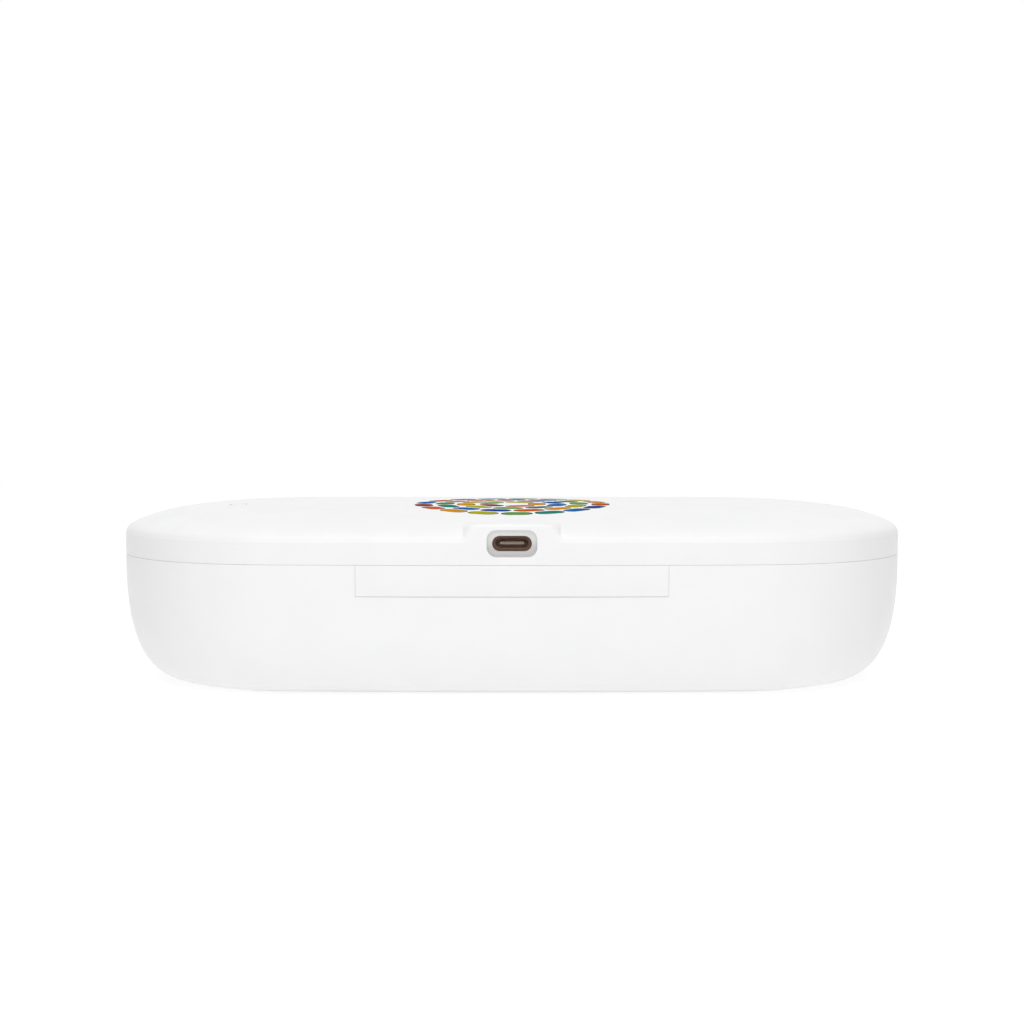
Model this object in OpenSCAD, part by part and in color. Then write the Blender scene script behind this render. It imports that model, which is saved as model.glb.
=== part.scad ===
// Ultraviolet sanitizer box for phones.
// A pebble-shaped case: the lower half holds a mirror-bright tray for the phone, and the lid
// carries the lamps, the boards, the charging socket, the button and the hinge knuckle.
// Millimetres, +Z up. The origin is under the middle of the box, on the surface it stands on.
// The lid opens at the front (-Y). The hinge and the socket are at the rear (+Y).

/* [Case outline] */
// Overall width, side to side
case_w = 212; // [200:1:230]
// Overall depth, front to rear
case_d = 119; // [114:1:130]
// Corner radius of the outline, seen from above
corner_r = 46; // [40:0.5:50]
// How far each long side bows out over its length
long_bow = 4.2; // [3:0.1:7]
// How far each short side bows out over its length
short_bow = 7.3; // [5:0.1:9]
// Thickness of the outer walls
wall = 2.4; // [2:0.1:2.8]

/* [Lower case] */
// Height of the lower case, without its feet
case_h = 34.7; // [32:0.1:44]
// How far the flat underside is drawn in from the outline
base_inset = 24.3; // [20:0.1:27]
// Fullness of the lower profile in height
belly_high = 2.65; // [2:0.05:3.5]
// Fullness of the lower profile in width
belly_wide = 3.54; // [2.5:0.02:4.5]
// Length of the thumb scoop at the front
scoop_w = 38; // [24:1:50]
// Depth of the thumb scoop
scoop_depth = 1.4; // [0.8:0.1:1.6]
// Height of the thumb scoop
scoop_h = 7; // [5:0.5:10]

/* [Lid] */
// Gap between the lower case and the lid, behind the lid's outer lip
seam_gap = 0.32; // [0.3:0.01:0.5]
// Gap that shows between the lower case and the lip
lip_gap = 0.1; // [0.1:0.01:0.2]
// Thickness of the lip that closes the seam
lip_w = 0.25; // [0.15:0.01:0.25]
// Height of the upright band round the lid
band_h = 5.4; // [5:0.1:7]
// Width of the rolled edge between the band and the top
roll_w = 31.6; // [26:0.1:34]
// Rise of the rolled edge above the band
roll_rise = 6.8; // [6.5:0.1:9]
// Further rise of the low dome in the middle of the top
dome_rise = 0.5; // [0.3:0.1:1.5]
// How late the rolled edge flattens out
roll_flat = 1.25; // [1.1:0.05:2]
// How sharply the rolled edge leaves the band
roll_sharp = 2.71; // [2:0.01:3.2]

/* [Hinge] */
// Width of the knuckle block
block_w = 79.3; // [60:0.1:90]
// Height of the knuckle block
block_h = 8.25; // [7.6:0.05:9]
// How far the hinge axis lies inside the rear face
hinge_inset = 2.1; // [2:0.05:2.2]
// Gap at each end of the knuckle block
block_gap = 0.1; // [0.08:0.01:0.4]
// Clearance round the knuckle as it turns
turn_gap = 0.1; // [0.08:0.01:0.4]
// Radius of the steel hinge pins
pin_r = 0.75; // [0.6:0.05:0.8]
// Length of each hinge pin
pin_l = 12; // [9:0.5:14]
// Length of each pin that stands out of the block
pin_out = 4; // [3:0.5:5]
// Radial clearance of the pins in the case
pin_gap = 0.05; // [0.02:0.01:0.09]
// Width of each ear that carries a pin
ear_w = 5.5; // [5.2:0.1:8]
// Thickness of the wall round the hinge pocket
pocket_wall = 1.6; // [1.2:0.1:2]

/* [Socket] */
// Height of the socket's middle above the lid's rim
port_h = 5.2; // [5:0.1:5.5]
// Width of the recess that admits the plug's grip
recess_w = 12.7; // [12.5:0.1:13.5]
// Height of the recess
recess_h = 6.8; // [6.6:0.1:7.4]
// Corner radius of the recess
recess_r = 2.4; // [1.5:0.1:3]
// Depth of the recess
recess_depth = 1.2; // [0.8:0.1:1.5]
// Width of the opening at the bottom of the recess
port_w = 10; // [9.4:0.1:10.5]
// Height of that opening
port_opening_h = 3.75; // [3.5:0.05:4.2]
// Width of the raised porch round the socket, at its foot
porch_w = 24.4; // [22:0.1:28]
// Width of the flat of its top
porch_flat_w = 15.6; // [14:0.1:18]
// Fullness of its sides
porch_round = 2.9; // [2:0.1:4]
// Height of the porch above the lid's rim
porch_h = 10.2; // [9.5:0.1:10.8]
// How far the porch reaches into the lid
porch_depth = 12; // [10:0.5:14]

/* [Power button] */
// Distance from the middle of the button to the side of the lid
button_edge = 30; // [26:1:40]
// Distance of the button behind the middle of the lid
button_back = 8; // [0:1:14]
// Radius of the button
button_r = 2.2; // [1.8:0.1:3]
// Radial clearance of the button in its hole
button_gap = 0.08; // [0.04:0.01:0.1]
// Travel of the button
button_travel = 0.3; // [0.2:0.05:0.4]

/* [Tray] */
// Distance of the chamber's mouth from the outline
mouth_inset = 14; // [13.8:0.1:18]
// Height of the chamber's floor above the surface the box stands on
tray_floor_z = 8; // [7.5:0.1:10]
// Thickness of the tray
tray_t = 1.6; // [1.2:0.1:2]
// How far the chamber narrows from its mouth to its floor
tray_draft = 2; // [1.5:0.1:4]
// Radius between the chamber's walls and its floor
tray_fillet = 4; // [3:0.1:5]
// Thickness of the tray's flange
flange_t = 2; // [1.8:0.1:2.4]
// Number of rails that hold the phone off the floor
rest_count = 3; // [2:1:5]
// Spacing of the rails
rest_pitch = 48; // [24:1:50]
// Length of a rail
rest_l = 56; // [40:1:60]
// Width of a rail
rest_w = 3; // [2:0.5:5]
// Height of a rail
rest_h = 2; // [1.5:0.1:3]

/* [Lamps] */
// Number of lamps
lamp_count = 4; // [2:2:4]
// Spacing of the lamps
lamp_pitch = 44; // [36:1:46]
// Distance of the lamps in front of the middle of the lid
lamp_front = 14; // [14:1:24]
// Radius of the clear part of each window
window_r = 5; // [4:0.1:5.5]
// Width of the lip that holds a window
window_lip = 0.8; // [0.6:0.1:1]
// Thickness of a window
window_t = 1.2; // [1:0.1:1.3]
// Width of a lamp
lamp_w = 3.5; // [3:0.1:5]
// Height of a lamp
lamp_h = 1.2; // [1:0.1:1.5]

/* [Feet, screws and magnets] */
// Radius of a foot
foot_r = 6; // [5:0.5:7]
// How far a foot stands out of the case
foot_h = 0.6; // [0.4:0.1:1.2]
// Depth of the pocket that holds a foot
foot_pocket = 1; // [0.8:0.1:1.2]
// Radius of a screw's thread
screw_r = 1; // [0.8:0.05:1.1]
// Radius of a screw's head
head_r = 1.9; // [1.7:0.05:2]
// Height of a screw's head
head_h = 1.1; // [0.9:0.05:1.2]
// Radius of the magnets and catch plates
magnet_r = 2.8; // [2.2:0.1:2.8]
// Thickness of the magnets and catch plates
magnet_t = 1.2; // [1:0.1:1.4]
// Distance of the magnets from the middle of the front
magnet_x = 28; // [20:1:40]

/* [Hidden] */
$fn = 48;

// Clearances and small cuts
fit = 0.05;
slack = 0.25;
over = 1;
sunk = 0.02;

// Outline: two bowed long sides and two bowed short sides, joined by round corners
half_w = case_w / 2;
half_d = case_d / 2;
long_r = (half_w * half_w + long_bow * long_bow) / (2 * long_bow);
short_r = (half_d * half_d + short_bow * short_bow) / (2 * short_bow);
long_centre = [0, half_d - long_r];
short_centre = [half_w - short_r, 0];
corner_centre = meet_of_circles(short_centre, short_r - corner_r, long_centre, long_r - corner_r);
corner_start = angle_to(short_centre, corner_centre);
corner_end = angle_to(long_centre, corner_centre);
short_steps = 2;
corner_steps = 10;
long_steps = 5;
quarter_arcs = concat(
    [for (i = [0:short_steps - 1]) [short_centre, short_r, corner_start * i / short_steps]],
    [for (i = [0:corner_steps - 1])
        [corner_centre, corner_r, corner_start + (corner_end - corner_start) * i / corner_steps]],
    [for (i = [0:long_steps]) [long_centre, long_r, corner_end + (90 - corner_end) * i / long_steps]]
);

// Heights
case_z = foot_h;
rim_z = case_z + case_h;
lid_z = rim_z + seam_gap;
lip_z = rim_z + lip_gap;
crease_z = lid_z + band_h;
roll_z = crease_z + roll_rise;
top_z = roll_z + dome_rise;
floor_z = case_z + wall;
scoop_sides = 96;
belly_steps = 9;
inner_steps = 6;
roll_steps = 8;
roll_spread = 3;
dome_steps = 3;
dome_flat = 0.2;

// Tray flange, its ledge and the seal
flange_drop = 0.2;
flange_z = rim_z - flange_drop;
flange_inset = wall + slack;
ledge_w = 1.6;
ledge_run = 3;
seal_inset = 9.8;
seal_w = 1.8;
seal_groove = 0.8;
seal_gap = 0.3;

// Lid liner
liner_drop = 0.1;
liner_z = lid_z + liner_drop;
liner_t = 2;
liner_top = liner_z + liner_t;

// Hinge
hinge_y = half_d - hinge_inset;
hinge_z = lid_z - block_h / 2;
knuckle_r = block_h / 2;
pocket_r = norm([hinge_inset, knuckle_r]) + turn_gap;
notch_w = block_w + 2 * block_gap;
trough_w = notch_w + 2 * ear_w;
trough_y = hinge_y - pocket_r - pocket_wall;
trough_z = hinge_z - pocket_r - pocket_wall;
seat_h = 2.2;
seat_skin = 0.8;
seat_rear = long_centre.y + sqrt(long_r * long_r - block_w * block_w / 4) - seat_skin;
porch_sunk = 0.4;
hinge_screw_x = [-24, -10, 10, 24];
hinge_screw_back = 0.6;
hinge_screw_y = hinge_y - hinge_screw_back;
hinge_screw_l = 10;
hinge_boss_h = 4.2;

// Socket and boards
port_z = lid_z + port_h;
usb_w = 8.94;
usb_h = 3.26;
usb_l = 7.6;
usb_wall = 0.3;
usb_flange = 0.5;
usb_back = 2.4;
usb_sunk = 0.4;
usb_y = half_d - recess_depth - usb_sunk;
tongue_w = 6.7;
tongue_h = 0.7;
tongue_l = 6.4;
contact_count = 12;
contact_pitch = 0.5;
contact_w = 0.28;
contact_t = 0.06;
contact_l = 3.4;
board_t = 1.2;
board_sunk = 0.6;
board_top = port_z - board_sunk;
board_w = 64;
board_d = 25;
board_rear = hinge_y - knuckle_r - slack;
board_front = board_rear - board_d;
socket_size = [4, 7, 1.4];
led_socket_in = 3.5;
led_socket_y = board_front + led_socket_in;
switch_socket_in = [3, 14];
switch_socket = [board_w / 2 - switch_socket_in.x, board_rear - switch_socket_in.y];
flex_t = 0.3;
flex_w = 5;
flex_lap = 4;
flex_bend = 2;
switch_flex_in = [5, 1];

// Components on the main board, each as its distance from the board's rear middle and its size
controller = [[-9, -17], [8, 8, 1.2]];
coil = [[8, -15], [6, 6, 2.8]];
charger = [[-20, -13], [5, 4, 1.5]];
driver = [[17, -18], [3, 3, 1]];
resistor = [[-28, -7], [1.2, 2, 0.6]];
resistor_count = 4;
resistor_pitch = 2.5;
capacitor_pos = [-8, board_rear - 9];
capacitor_r = 2.5;
capacitor_h = 3;

// Power button and its switch
button_pos = [half_w - button_edge, button_back];
guide_r = 4.4;
guide_h = 0.8;
guide_z = crown_z(inset_at(button_pos)) - wall - guide_h;
collar_r = 3.2;
collar_t = 1;
switch_w = 6;
switch_h = 1.9;
plunger_r = 1.6;
plunger_h = 0.8;
switch_board = [22, 13];
switch_boss_x = 7.5;

// Lamps and their board
lamp_pos = row_of(lamp_count, lamp_pitch, -lamp_front);
led_post_pos = row_of(lamp_count - 1, lamp_pitch, -lamp_front);
led_board_end = 8;
led_board_w = lamp_pitch * (lamp_count - 1) + 2 * led_board_end;
led_board_d = 14;
led_board_rear = led_board_d / 2 - lamp_front;
led_post_h = 1.6;
lens_r = 1.2;
lens_h = 0.5;
led_board_z = liner_top + led_post_h;
led_screw_l = 3;

// Screws and bosses
boss_r = 2.3;
boss_cover = 1.44;
foot_in = [16, 10];
foot_pos = [half_w - base_inset - foot_in.x, half_d - base_inset - foot_in.y];
tray_screw_in = [26, 8];
tray_screw_pos = foot_pos - tray_screw_in;
tray_screw_l = 5;
tray_post_r = 3;
liner_screw_l = 5;
liner_boss_in = 14;
front_boss_x = 45;
rear_boss_x = 62;
side_boss = [half_w - liner_boss_in, 0];
front_boss = [front_boss_x, liner_boss_in - half_d];
rear_boss = [rear_boss_x, half_d - liner_boss_in];
liner_boss_pos = both_sides([side_boss, front_boss, rear_boss]);
board_screw_l = 4;
board_boss_in = 5;
board_boss_x = [24, 15];
main_boss_pos = both_sides([
    [board_boss_x[0], board_front + board_boss_in], [board_boss_x[1], board_rear - board_boss_in]
]);
switch_boss_pos = [for (side = [-1, 1]) button_pos + [side * switch_boss_x, 0]];
magnet_in = 6.6;
magnet_y = magnet_in - half_d;

// Colours
shell_white = [0.95, 0.95, 0.955];
mirror_grey = [0.82, 0.84, 0.86];
rubber_grey = [0.35, 0.35, 0.36];
seal_grey = [0.75, 0.76, 0.78];
steel_grey = [0.66, 0.67, 0.69];
board_green = [0.08, 0.35, 0.2];
chip_black = [0.1, 0.1, 0.11];
socket_brown = [0.37, 0.27, 0.23];
glass_blue = [0.75, 0.85, 0.95, 0.5];
flex_amber = [0.75, 0.5, 0.15];

// Evenly spaced points along X, centred on the middle
function row_of(count, pitch, y) = [for (i = [0:count - 1]) [(i - (count - 1) / 2) * pitch, y]];

// A list of points, and the same points mirrored to the other side
function both_sides(points) = [for (p = points, side = [-1, 1]) [side * p.x, p.y]];

// Direction from one point to another, in degrees
function angle_to(a, b) = atan2(b.y - a.y, b.x - a.x);

// The meeting point of two circles that lies furthest along +X
function meet_of_circles(a, ra, b, rb) =
    let (
        gap = norm(b - a),
        along = (ra * ra - rb * rb + gap * gap) / (2 * gap),
        aside = sqrt(ra * ra - along * along),
        u = (b - a) / gap
    )
    a + along * u + aside * [-u.y, u.x];

// A point of one quarter of the outline, drawn in square to it
function arc_point(arc, inset) = arc[0] + (arc[1] - inset) * [cos(arc[2]), sin(arc[2])];

// The outline drawn in by inset, anticlockwise from +X, as points
function plan(inset) =
    let (
        q = [for (arc = quarter_arcs) arc_point(arc, inset)],
        n = len(q) - 1
    )
    concat(
        [for (i = [0:n - 1]) q[i]],
        [for (i = [n:-1:1]) [-q[i].x, q[i].y]],
        [for (i = [0:n - 1]) -q[i]],
        [for (i = [n:-1:1]) [q[i].x, -q[i].y]]
    );

// How far a point lies inside the outline
function inset_at(p) =
    let (q = [abs(p.x), abs(p.y)])
    q.x > corner_centre.x && q.y > corner_centre.y
        ? corner_r - norm(q - corner_centre)
        : min(short_r - norm(q - short_centre), long_r - norm(q - long_centre));

// Height of the lid's outer surface where the outline is drawn in by inset
function crown_z(inset) =
    let (left = max(0, 1 - inset / roll_w))
    crease_z + roll_rise * pow(1 - pow(left, roll_flat), 1 / roll_sharp);

// Height of a boss that hangs from the lid's ceiling and ends inside its wall
function ceiling_z(p) = crown_z(inset_at(p)) - boss_cover;

// Rolled edge from the band to the top, as [inset, height]
function roll_profile(start, run, rise, n) =
    [for (i = [0:n])
        let (part = pow(i / n, roll_spread))
        [start + run * part,
         crease_z + rise * pow(1 - pow(1 - part, roll_flat), 1 / roll_sharp)]];

// Rounded side of the lower case from bottom to top, as [inset, height]
function belly_profile(start, run, low, high, n) =
    [for (i = [0:n])
        let (turn = 90 * (1 - i / n))
        [start + run * (1 - pow(cos(turn), 2 / belly_wide)),
         low + (high - low) * (1 - pow(sin(turn), 2 / belly_high))]];

// The same list from its last entry to its first
function reversed(list) = [for (i = [len(list) - 1:-1:0]) list[i]];

// Corner points of a rectangle with round corners, anticlockwise
function rounded_points(w, h, r, n = 6) =
    [for (k = [0:3], i = [0:n])
        let (turn = 90 * (k + i / n), sx = (k == 0 || k == 3) ? 1 : -1, sy = k < 2 ? 1 : -1)
        [sx * (w / 2 - r), sy * (h / 2 - r)] + r * [cos(turn), sin(turn)]];

// Solid with a profile carried round the outline. The profile holds [inset, height] or
// [inset, height, scale], runs anticlockwise round the material seen with the outside to the
// right, and its first and last rings are closed by flat faces.
module plan_sweep(profile) {
    rings = [for (p = profile)
        [for (v = plan(p[0])) let (s = len(p) > 2 ? p[2] : 1) [v.x * s, v.y * s, p[1]]]];
    n = len(rings[0]);
    last = len(rings) - 1;
    sides = [for (k = [0:last - 1], i = [0:n - 1])
        let (j = (i + 1) % n)
        [k * n + i, (k + 1) * n + i, (k + 1) * n + j, k * n + j]];
    low_cap = [for (i = [0:n - 1]) i];
    high_cap = [for (i = [n - 1:-1:0]) last * n + i];
    polyhedron([for (ring = rings, v = ring) v], concat(sides, [low_cap], [high_cap]));
}

// Flat plate with the outline drawn in by inset
module plan_plate(inset, low, high) {
    translate([0, 0, low]) linear_extrude(high - low) polygon(plan(inset));
}

// Upright cylinder from one height to another
module post(p, r, low, high) {
    translate([p.x, p.y, low]) cylinder(r = r, h = high - low);
}

// Box given by its lowest and highest corners
module block(low, high) {
    translate(low) cube(high - low);
}

// Outline points in the XZ plane pushed from one y to another
module push_y(points, near, far) {
    translate([0, far, 0]) rotate([90, 0, 0]) linear_extrude(far - near) polygon(points);
}

// Outline points in the YZ plane pushed to both sides of the middle
module push_x(points, width) {
    translate([-width / 2, 0, 0]) rotate([90, 0, 90]) linear_extrude(width) polygon(points);
}

// Cylinder along X
module bar_x(x, y, z, r, length) {
    translate([x, y, z]) rotate([0, 90, 0]) cylinder(r = r, h = length);
}

// The same piece in all four quarters
module four_ways(p) {
    for (sx = [-1, 1], sy = [-1, 1]) translate([sx * p.x, sy * p.y, 0]) children();
}

// Screw that points up from the underside of its head
module screw_up(p, seat, length) {
    post(p, head_r, seat - head_h, seat);
    post(p, screw_r, seat - sunk, seat + length);
}

// Screw that points down from the underside of its head
module screw_down(p, seat, length) {
    post(p, head_r, seat, seat + head_h);
    post(p, screw_r, seat - length, seat + sunk);
}

// Lower half of the housing
module lower_case() {
    outer = belly_profile(0, base_inset, case_z, rim_z, belly_steps);
    ledge_z = flange_z - flange_t;
    inner = belly_profile(wall, base_inset - wall, floor_z, ledge_z - ledge_run, inner_steps);
    color(shell_white) difference() {
        union() {
            plan_sweep(concat(
                outer,
                [[wall, rim_z], [wall, ledge_z], [wall + ledge_w, ledge_z]],
                reversed(inner)
            ));
            block([-trough_w / 2, trough_y, trough_z], [trough_w / 2, hinge_y, rim_z]);
        }
        hinge_pocket();
        for (side = [-1, 1])
            bar_x(side * notch_w / 2 + (side < 0 ? -pin_out : 0), hinge_y, hinge_z,
                pin_r + pin_gap, pin_out);
        thumb_scoop();
        four_ways(foot_pos) post([0, 0], foot_r + fit, case_z - over, case_z + foot_pocket);
        four_ways(tray_screw_pos) {
            post([0, 0], head_r + slack, case_z - over, case_z + head_h + fit);
            post([0, 0], screw_r + slack, case_z, floor_z + over);
        }
    }
}

// Space that the knuckle turns in
module hinge_pocket() {
    bar_x(-notch_w / 2, hinge_y, hinge_z, pocket_r, notch_w);
    block([-notch_w / 2, hinge_y - pocket_r, hinge_z], [notch_w / 2, half_d + over, rim_z + over]);
}

// Shallow hollow under the lid's front edge, for a thumb
module thumb_scoop() {
    sweep_r = (scoop_w * scoop_w / 4 + scoop_depth * scoop_depth) / (2 * scoop_depth);
    end_r = scoop_h / 2;
    steps = 8;
    bottom = [for (i = [0:steps])
        let (turn = 90 * i / steps)
        [sweep_r - end_r, 0] + end_r * [sin(turn), -cos(turn)]];
    translate([0, scoop_depth - half_d - sweep_r, rim_z - scoop_h + end_r])
        rotate_extrude($fn = scoop_sides)
            polygon(concat([[0, -end_r]], bottom, [[sweep_r, scoop_h], [0, scoop_h]]));
}

// Drop-in tray that the phone lies in
module chamber_tray() {
    wall_low = tray_floor_z + tray_fillet;
    drawn = mouth_inset + tray_draft;
    turn_steps = 4;
    inside = [for (i = [0:turn_steps])
        let (turn = 90 * i / turn_steps)
        [drawn + tray_fillet * (1 - cos(turn)), wall_low - tray_fillet * sin(turn)]];
    outside = [for (i = [turn_steps:-1:0])
        let (turn = 90 * i / turn_steps)
        [drawn - tray_t + (tray_fillet + tray_t) * (1 - cos(turn)),
         wall_low - (tray_fillet + tray_t) * sin(turn)]];
    color(mirror_grey) difference() {
        union() {
            plan_sweep(concat(
                outside,
                [
                    [mouth_inset - tray_t, flange_z - flange_t], [flange_inset, flange_z - flange_t],
                    [flange_inset, flange_z],
                    [seal_inset - fit, flange_z], [seal_inset - fit, flange_z - seal_groove],
                    [seal_inset + seal_w + fit, flange_z - seal_groove],
                    [seal_inset + seal_w + fit, flange_z], [mouth_inset, flange_z]
                ],
                inside
            ));
            four_ways(tray_screw_pos)
                post([0, 0], tray_post_r, floor_z, tray_floor_z - tray_t / 2);
        }
        block([-trough_w / 2 - slack, trough_y - slack, floor_z], [trough_w / 2 + slack, half_d, lid_z]);
        four_ways(tray_screw_pos)
            post([0, 0], screw_r + fit, floor_z - over, case_z + head_h + fit + tray_screw_l + slack);
        for (side = [-1, 1])
            post([side * magnet_x, magnet_y], magnet_r + fit, flange_z - magnet_t, flange_z + over);
    }
}

// Low rails that hold the phone off the tray's floor
module phone_rests() {
    end_r = rest_w / 2;
    outline = rounded_points(rest_w, rest_l, end_r - sunk, 8);
    color(seal_grey) for (i = [0:rest_count - 1])
        translate([(i - (rest_count - 1) / 2) * rest_pitch, 0, tray_floor_z])
            linear_extrude(rest_h) polygon(outline);
}

// Soft ring between the tray and the lid's liner
module rim_seal() {
    low = flange_z - seal_groove;
    color(seal_grey) translate([0, 0, low]) linear_extrude(liner_z - seal_gap - low) difference() {
        polygon(plan(seal_inset));
        polygon(plan(seal_inset + seal_w));
    }
}

// Steel discs that the lid's magnets hold
module catch_plates() {
    color(steel_grey) for (side = [-1, 1])
        post([side * magnet_x, magnet_y], magnet_r, flange_z - magnet_t, flange_z);
}

// Soft feet in shallow pockets
module rubber_feet() {
    color(rubber_grey) four_ways(foot_pos) post([0, 0], foot_r, 0, case_z + foot_pocket);
}

// Screws that hold the tray from below
module tray_screws() {
    color(steel_grey) four_ways(tray_screw_pos) screw_up([0, 0], case_z + head_h + fit, tray_screw_l);
}

// Outer shell of the lid
module lid_cover() {
    top_rings = [for (i = [1:dome_steps])
        let (s = 1 - (1 - dome_flat) * i / dome_steps)
        [roll_w, roll_z + dome_rise * (1 - s * s), s]];
    inner = roll_profile(wall, roll_w - wall, roll_rise - wall, inner_steps);
    color(shell_white) difference() {
        union() {
            plan_sweep(concat(
                reversed(inner),
                [[wall, lid_z], [lip_w, lid_z], [lip_w, lip_z], [0, lip_z]],
                roll_profile(0, roll_w, roll_rise, roll_steps), top_rings
            ));
            porch();
            block([-block_w / 2, hinge_y - knuckle_r, lid_z],
                [block_w / 2, seat_rear, lid_z + seat_h]);
            for (x = hinge_screw_x)
                post([x, hinge_screw_y], boss_r, lid_z + seat_h / 2, lid_z + hinge_boss_h);
            for (p = liner_boss_pos) post(p, boss_r, liner_top, ceiling_z(p));
            for (p = concat(main_boss_pos, switch_boss_pos)) post(p, boss_r, board_top, ceiling_z(p));
            post(button_pos, guide_r, guide_z, guide_z + guide_h + wall / 2);
        }
        port_cut();
        for (x = hinge_screw_x)
            post([x, hinge_screw_y], screw_r + fit, lid_z - over, lid_z + hinge_boss_h - seat_skin);
        for (p = liner_boss_pos)
            post(p, screw_r + fit, liner_top - over, liner_top + liner_screw_l);
        for (p = concat(main_boss_pos, switch_boss_pos))
            post(p, screw_r + fit, board_top - over, board_top + board_screw_l);
        post(button_pos, button_r + button_gap, guide_z - over, top_z + over);
    }
}

// Raised porch that gives the socket an upright face
module porch() {
    foot_z = crease_z - porch_sunk;
    rise = porch_h + lid_z - crease_z;
    steps = 12;
    side = [for (i = [0:steps])
        let (left = 1 - i / steps)
        [porch_flat_w / 2 + (porch_w - porch_flat_w) / 2 * left,
         crease_z + rise * (1 - pow(left, porch_round))]];
    right = concat([[porch_w / 2, foot_z]], side);
    intersection() {
        push_y(concat(right, [for (p = reversed(right)) [-p.x, p.y]]),
            half_d - porch_depth, half_d + over);
        plan_plate(sunk, foot_z - over, top_z + over);
    }
}

// Recess for the plug's grip, and the opening behind it
module port_cut() {
    translate([0, 0, port_z]) {
        push_y(rounded_points(recess_w, recess_h, recess_r), half_d - recess_depth, half_d + over);
        push_y(rounded_points(port_w, port_opening_h, port_opening_h / 2 - sunk),
            half_d - porch_depth - over, half_d);
    }
}

// Knuckle that is screwed under the lid and turns in the lower case
module hinge_block() {
    turn_steps = 8;
    knuckle = concat(
        [[-knuckle_r, knuckle_r]],
        [for (i = [0:turn_steps]) let (a = 180 + 90 * i / turn_steps) knuckle_r * [cos(a), sin(a)]],
        [[hinge_inset + over, -knuckle_r], [hinge_inset + over, knuckle_r]]
    );
    color(shell_white) difference() {
        intersection() {
            translate([0, hinge_y, hinge_z]) push_x(knuckle, block_w);
            union() {
                plan_plate(0, hinge_z - block_h, rim_z);
                plan_plate(lip_w + fit, hinge_z - block_h, lid_z + over);
            }
        }
        for (side = [-1, 1]) {
            start = side * (block_w / 2 - pin_l + pin_out);
            bar_x(side > 0 ? start : -block_w / 2 - over, hinge_y, hinge_z, pin_r + sunk,
                pin_l - pin_out + over);
        }
        for (x = hinge_screw_x) {
            post([x, hinge_screw_y], head_r + fit, hinge_z - block_h, hinge_z - knuckle_r + head_h + slack);
            post([x, hinge_screw_y], screw_r + fit, hinge_z - block_h, lid_z + over);
        }
    }
}

// Steel pins that stand out of the knuckle's ends
module hinge_pins() {
    color(steel_grey) for (side = [-1, 1])
        bar_x(side > 0 ? block_w / 2 - pin_l + pin_out + fit : -block_w / 2 - pin_out + fit,
            hinge_y, hinge_z, pin_r, pin_l - 2 * fit);
}

// Screws that hold the knuckle to the lid
module hinge_screws() {
    color(steel_grey) for (x = hinge_screw_x)
        screw_up([x, hinge_screw_y], hinge_z - knuckle_r + head_h + slack, hinge_screw_l);
}

// Inner panel of the lid, over the chamber
module lid_liner() {
    color(mirror_grey) difference() {
        union() {
            plan_plate(flange_inset, liner_z, liner_top);
            for (p = led_post_pos) post(p, boss_r, liner_top - sunk, led_board_z);
        }
        block([-block_w / 2 - slack, hinge_y - knuckle_r - slack, lid_z],
            [block_w / 2 + slack, half_d, led_board_z + over]);
        for (p = lamp_pos) {
            post(p, window_r, liner_z - over, liner_top + over);
            post(p, window_r + window_lip, liner_top - window_t, liner_top + over);
        }
        for (p = led_post_pos) post(p, screw_r + fit, led_board_z + board_t - led_screw_l - slack,
            led_board_z + over);
        for (p = liner_boss_pos) {
            post(p, screw_r + slack, liner_z - over, liner_top + over);
            post(p, head_r + slack, liner_z - over, liner_z + head_h + fit);
        }
        for (side = [-1, 1])
            post([side * magnet_x, magnet_y], magnet_r + fit, liner_z - over, liner_z + magnet_t);
    }
}

// Screws that hold the liner to the lid
module liner_screws() {
    color(steel_grey) for (p = liner_boss_pos) screw_up(p, liner_z + head_h + fit, liner_screw_l - slack);
}

// Magnets in the front of the liner
module lid_magnets() {
    color(steel_grey) for (side = [-1, 1])
        post([side * magnet_x, magnet_y], magnet_r, liner_z, liner_z + magnet_t);
}

// Clear quartz discs in front of the lamps
module uv_windows() {
    color(glass_blue) for (p = lamp_pos)
        post(p, window_r + window_lip - fit, liner_top - window_t, liner_top);
}

// Long board that carries the lamps
module uv_led_board() {
    color(board_green) difference() {
        block([-led_board_w / 2, led_board_rear - led_board_d, led_board_z],
            [led_board_w / 2, led_board_rear, led_board_z + board_t]);
        for (p = led_post_pos)
            post(p, screw_r + fit, led_board_z - over, led_board_z + board_t + over);
    }
}

// Ultraviolet lamps, each a square base with a small lens
module uv_leds() {
    color(flex_amber) for (p = lamp_pos) {
        translate([p.x - lamp_w / 2, p.y - lamp_w / 2, led_board_z - lamp_h + lens_h])
            cube([lamp_w, lamp_w, lamp_h - lens_h]);
        post(p, lens_r, led_board_z - lamp_h, led_board_z - lamp_h + lens_h + sunk);
    }
}

// Screws that hold the lamp board to the liner's posts
module led_board_screws() {
    color(steel_grey) for (p = led_post_pos) screw_down(p, led_board_z + board_t, led_screw_l);
}

// Board behind the socket
module main_board() {
    color(board_green) difference() {
        block([-board_w / 2, board_front, board_top - board_t], [board_w / 2, board_rear, board_top]);
        block([-usb_w / 2 - fit, usb_y - usb_l - fit, board_top - board_t - over],
            [usb_w / 2 + fit, board_rear + over, board_top + over]);
        for (p = main_boss_pos) post(p, screw_r + fit, board_top - board_t - over, board_top + over);
    }
}

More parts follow.
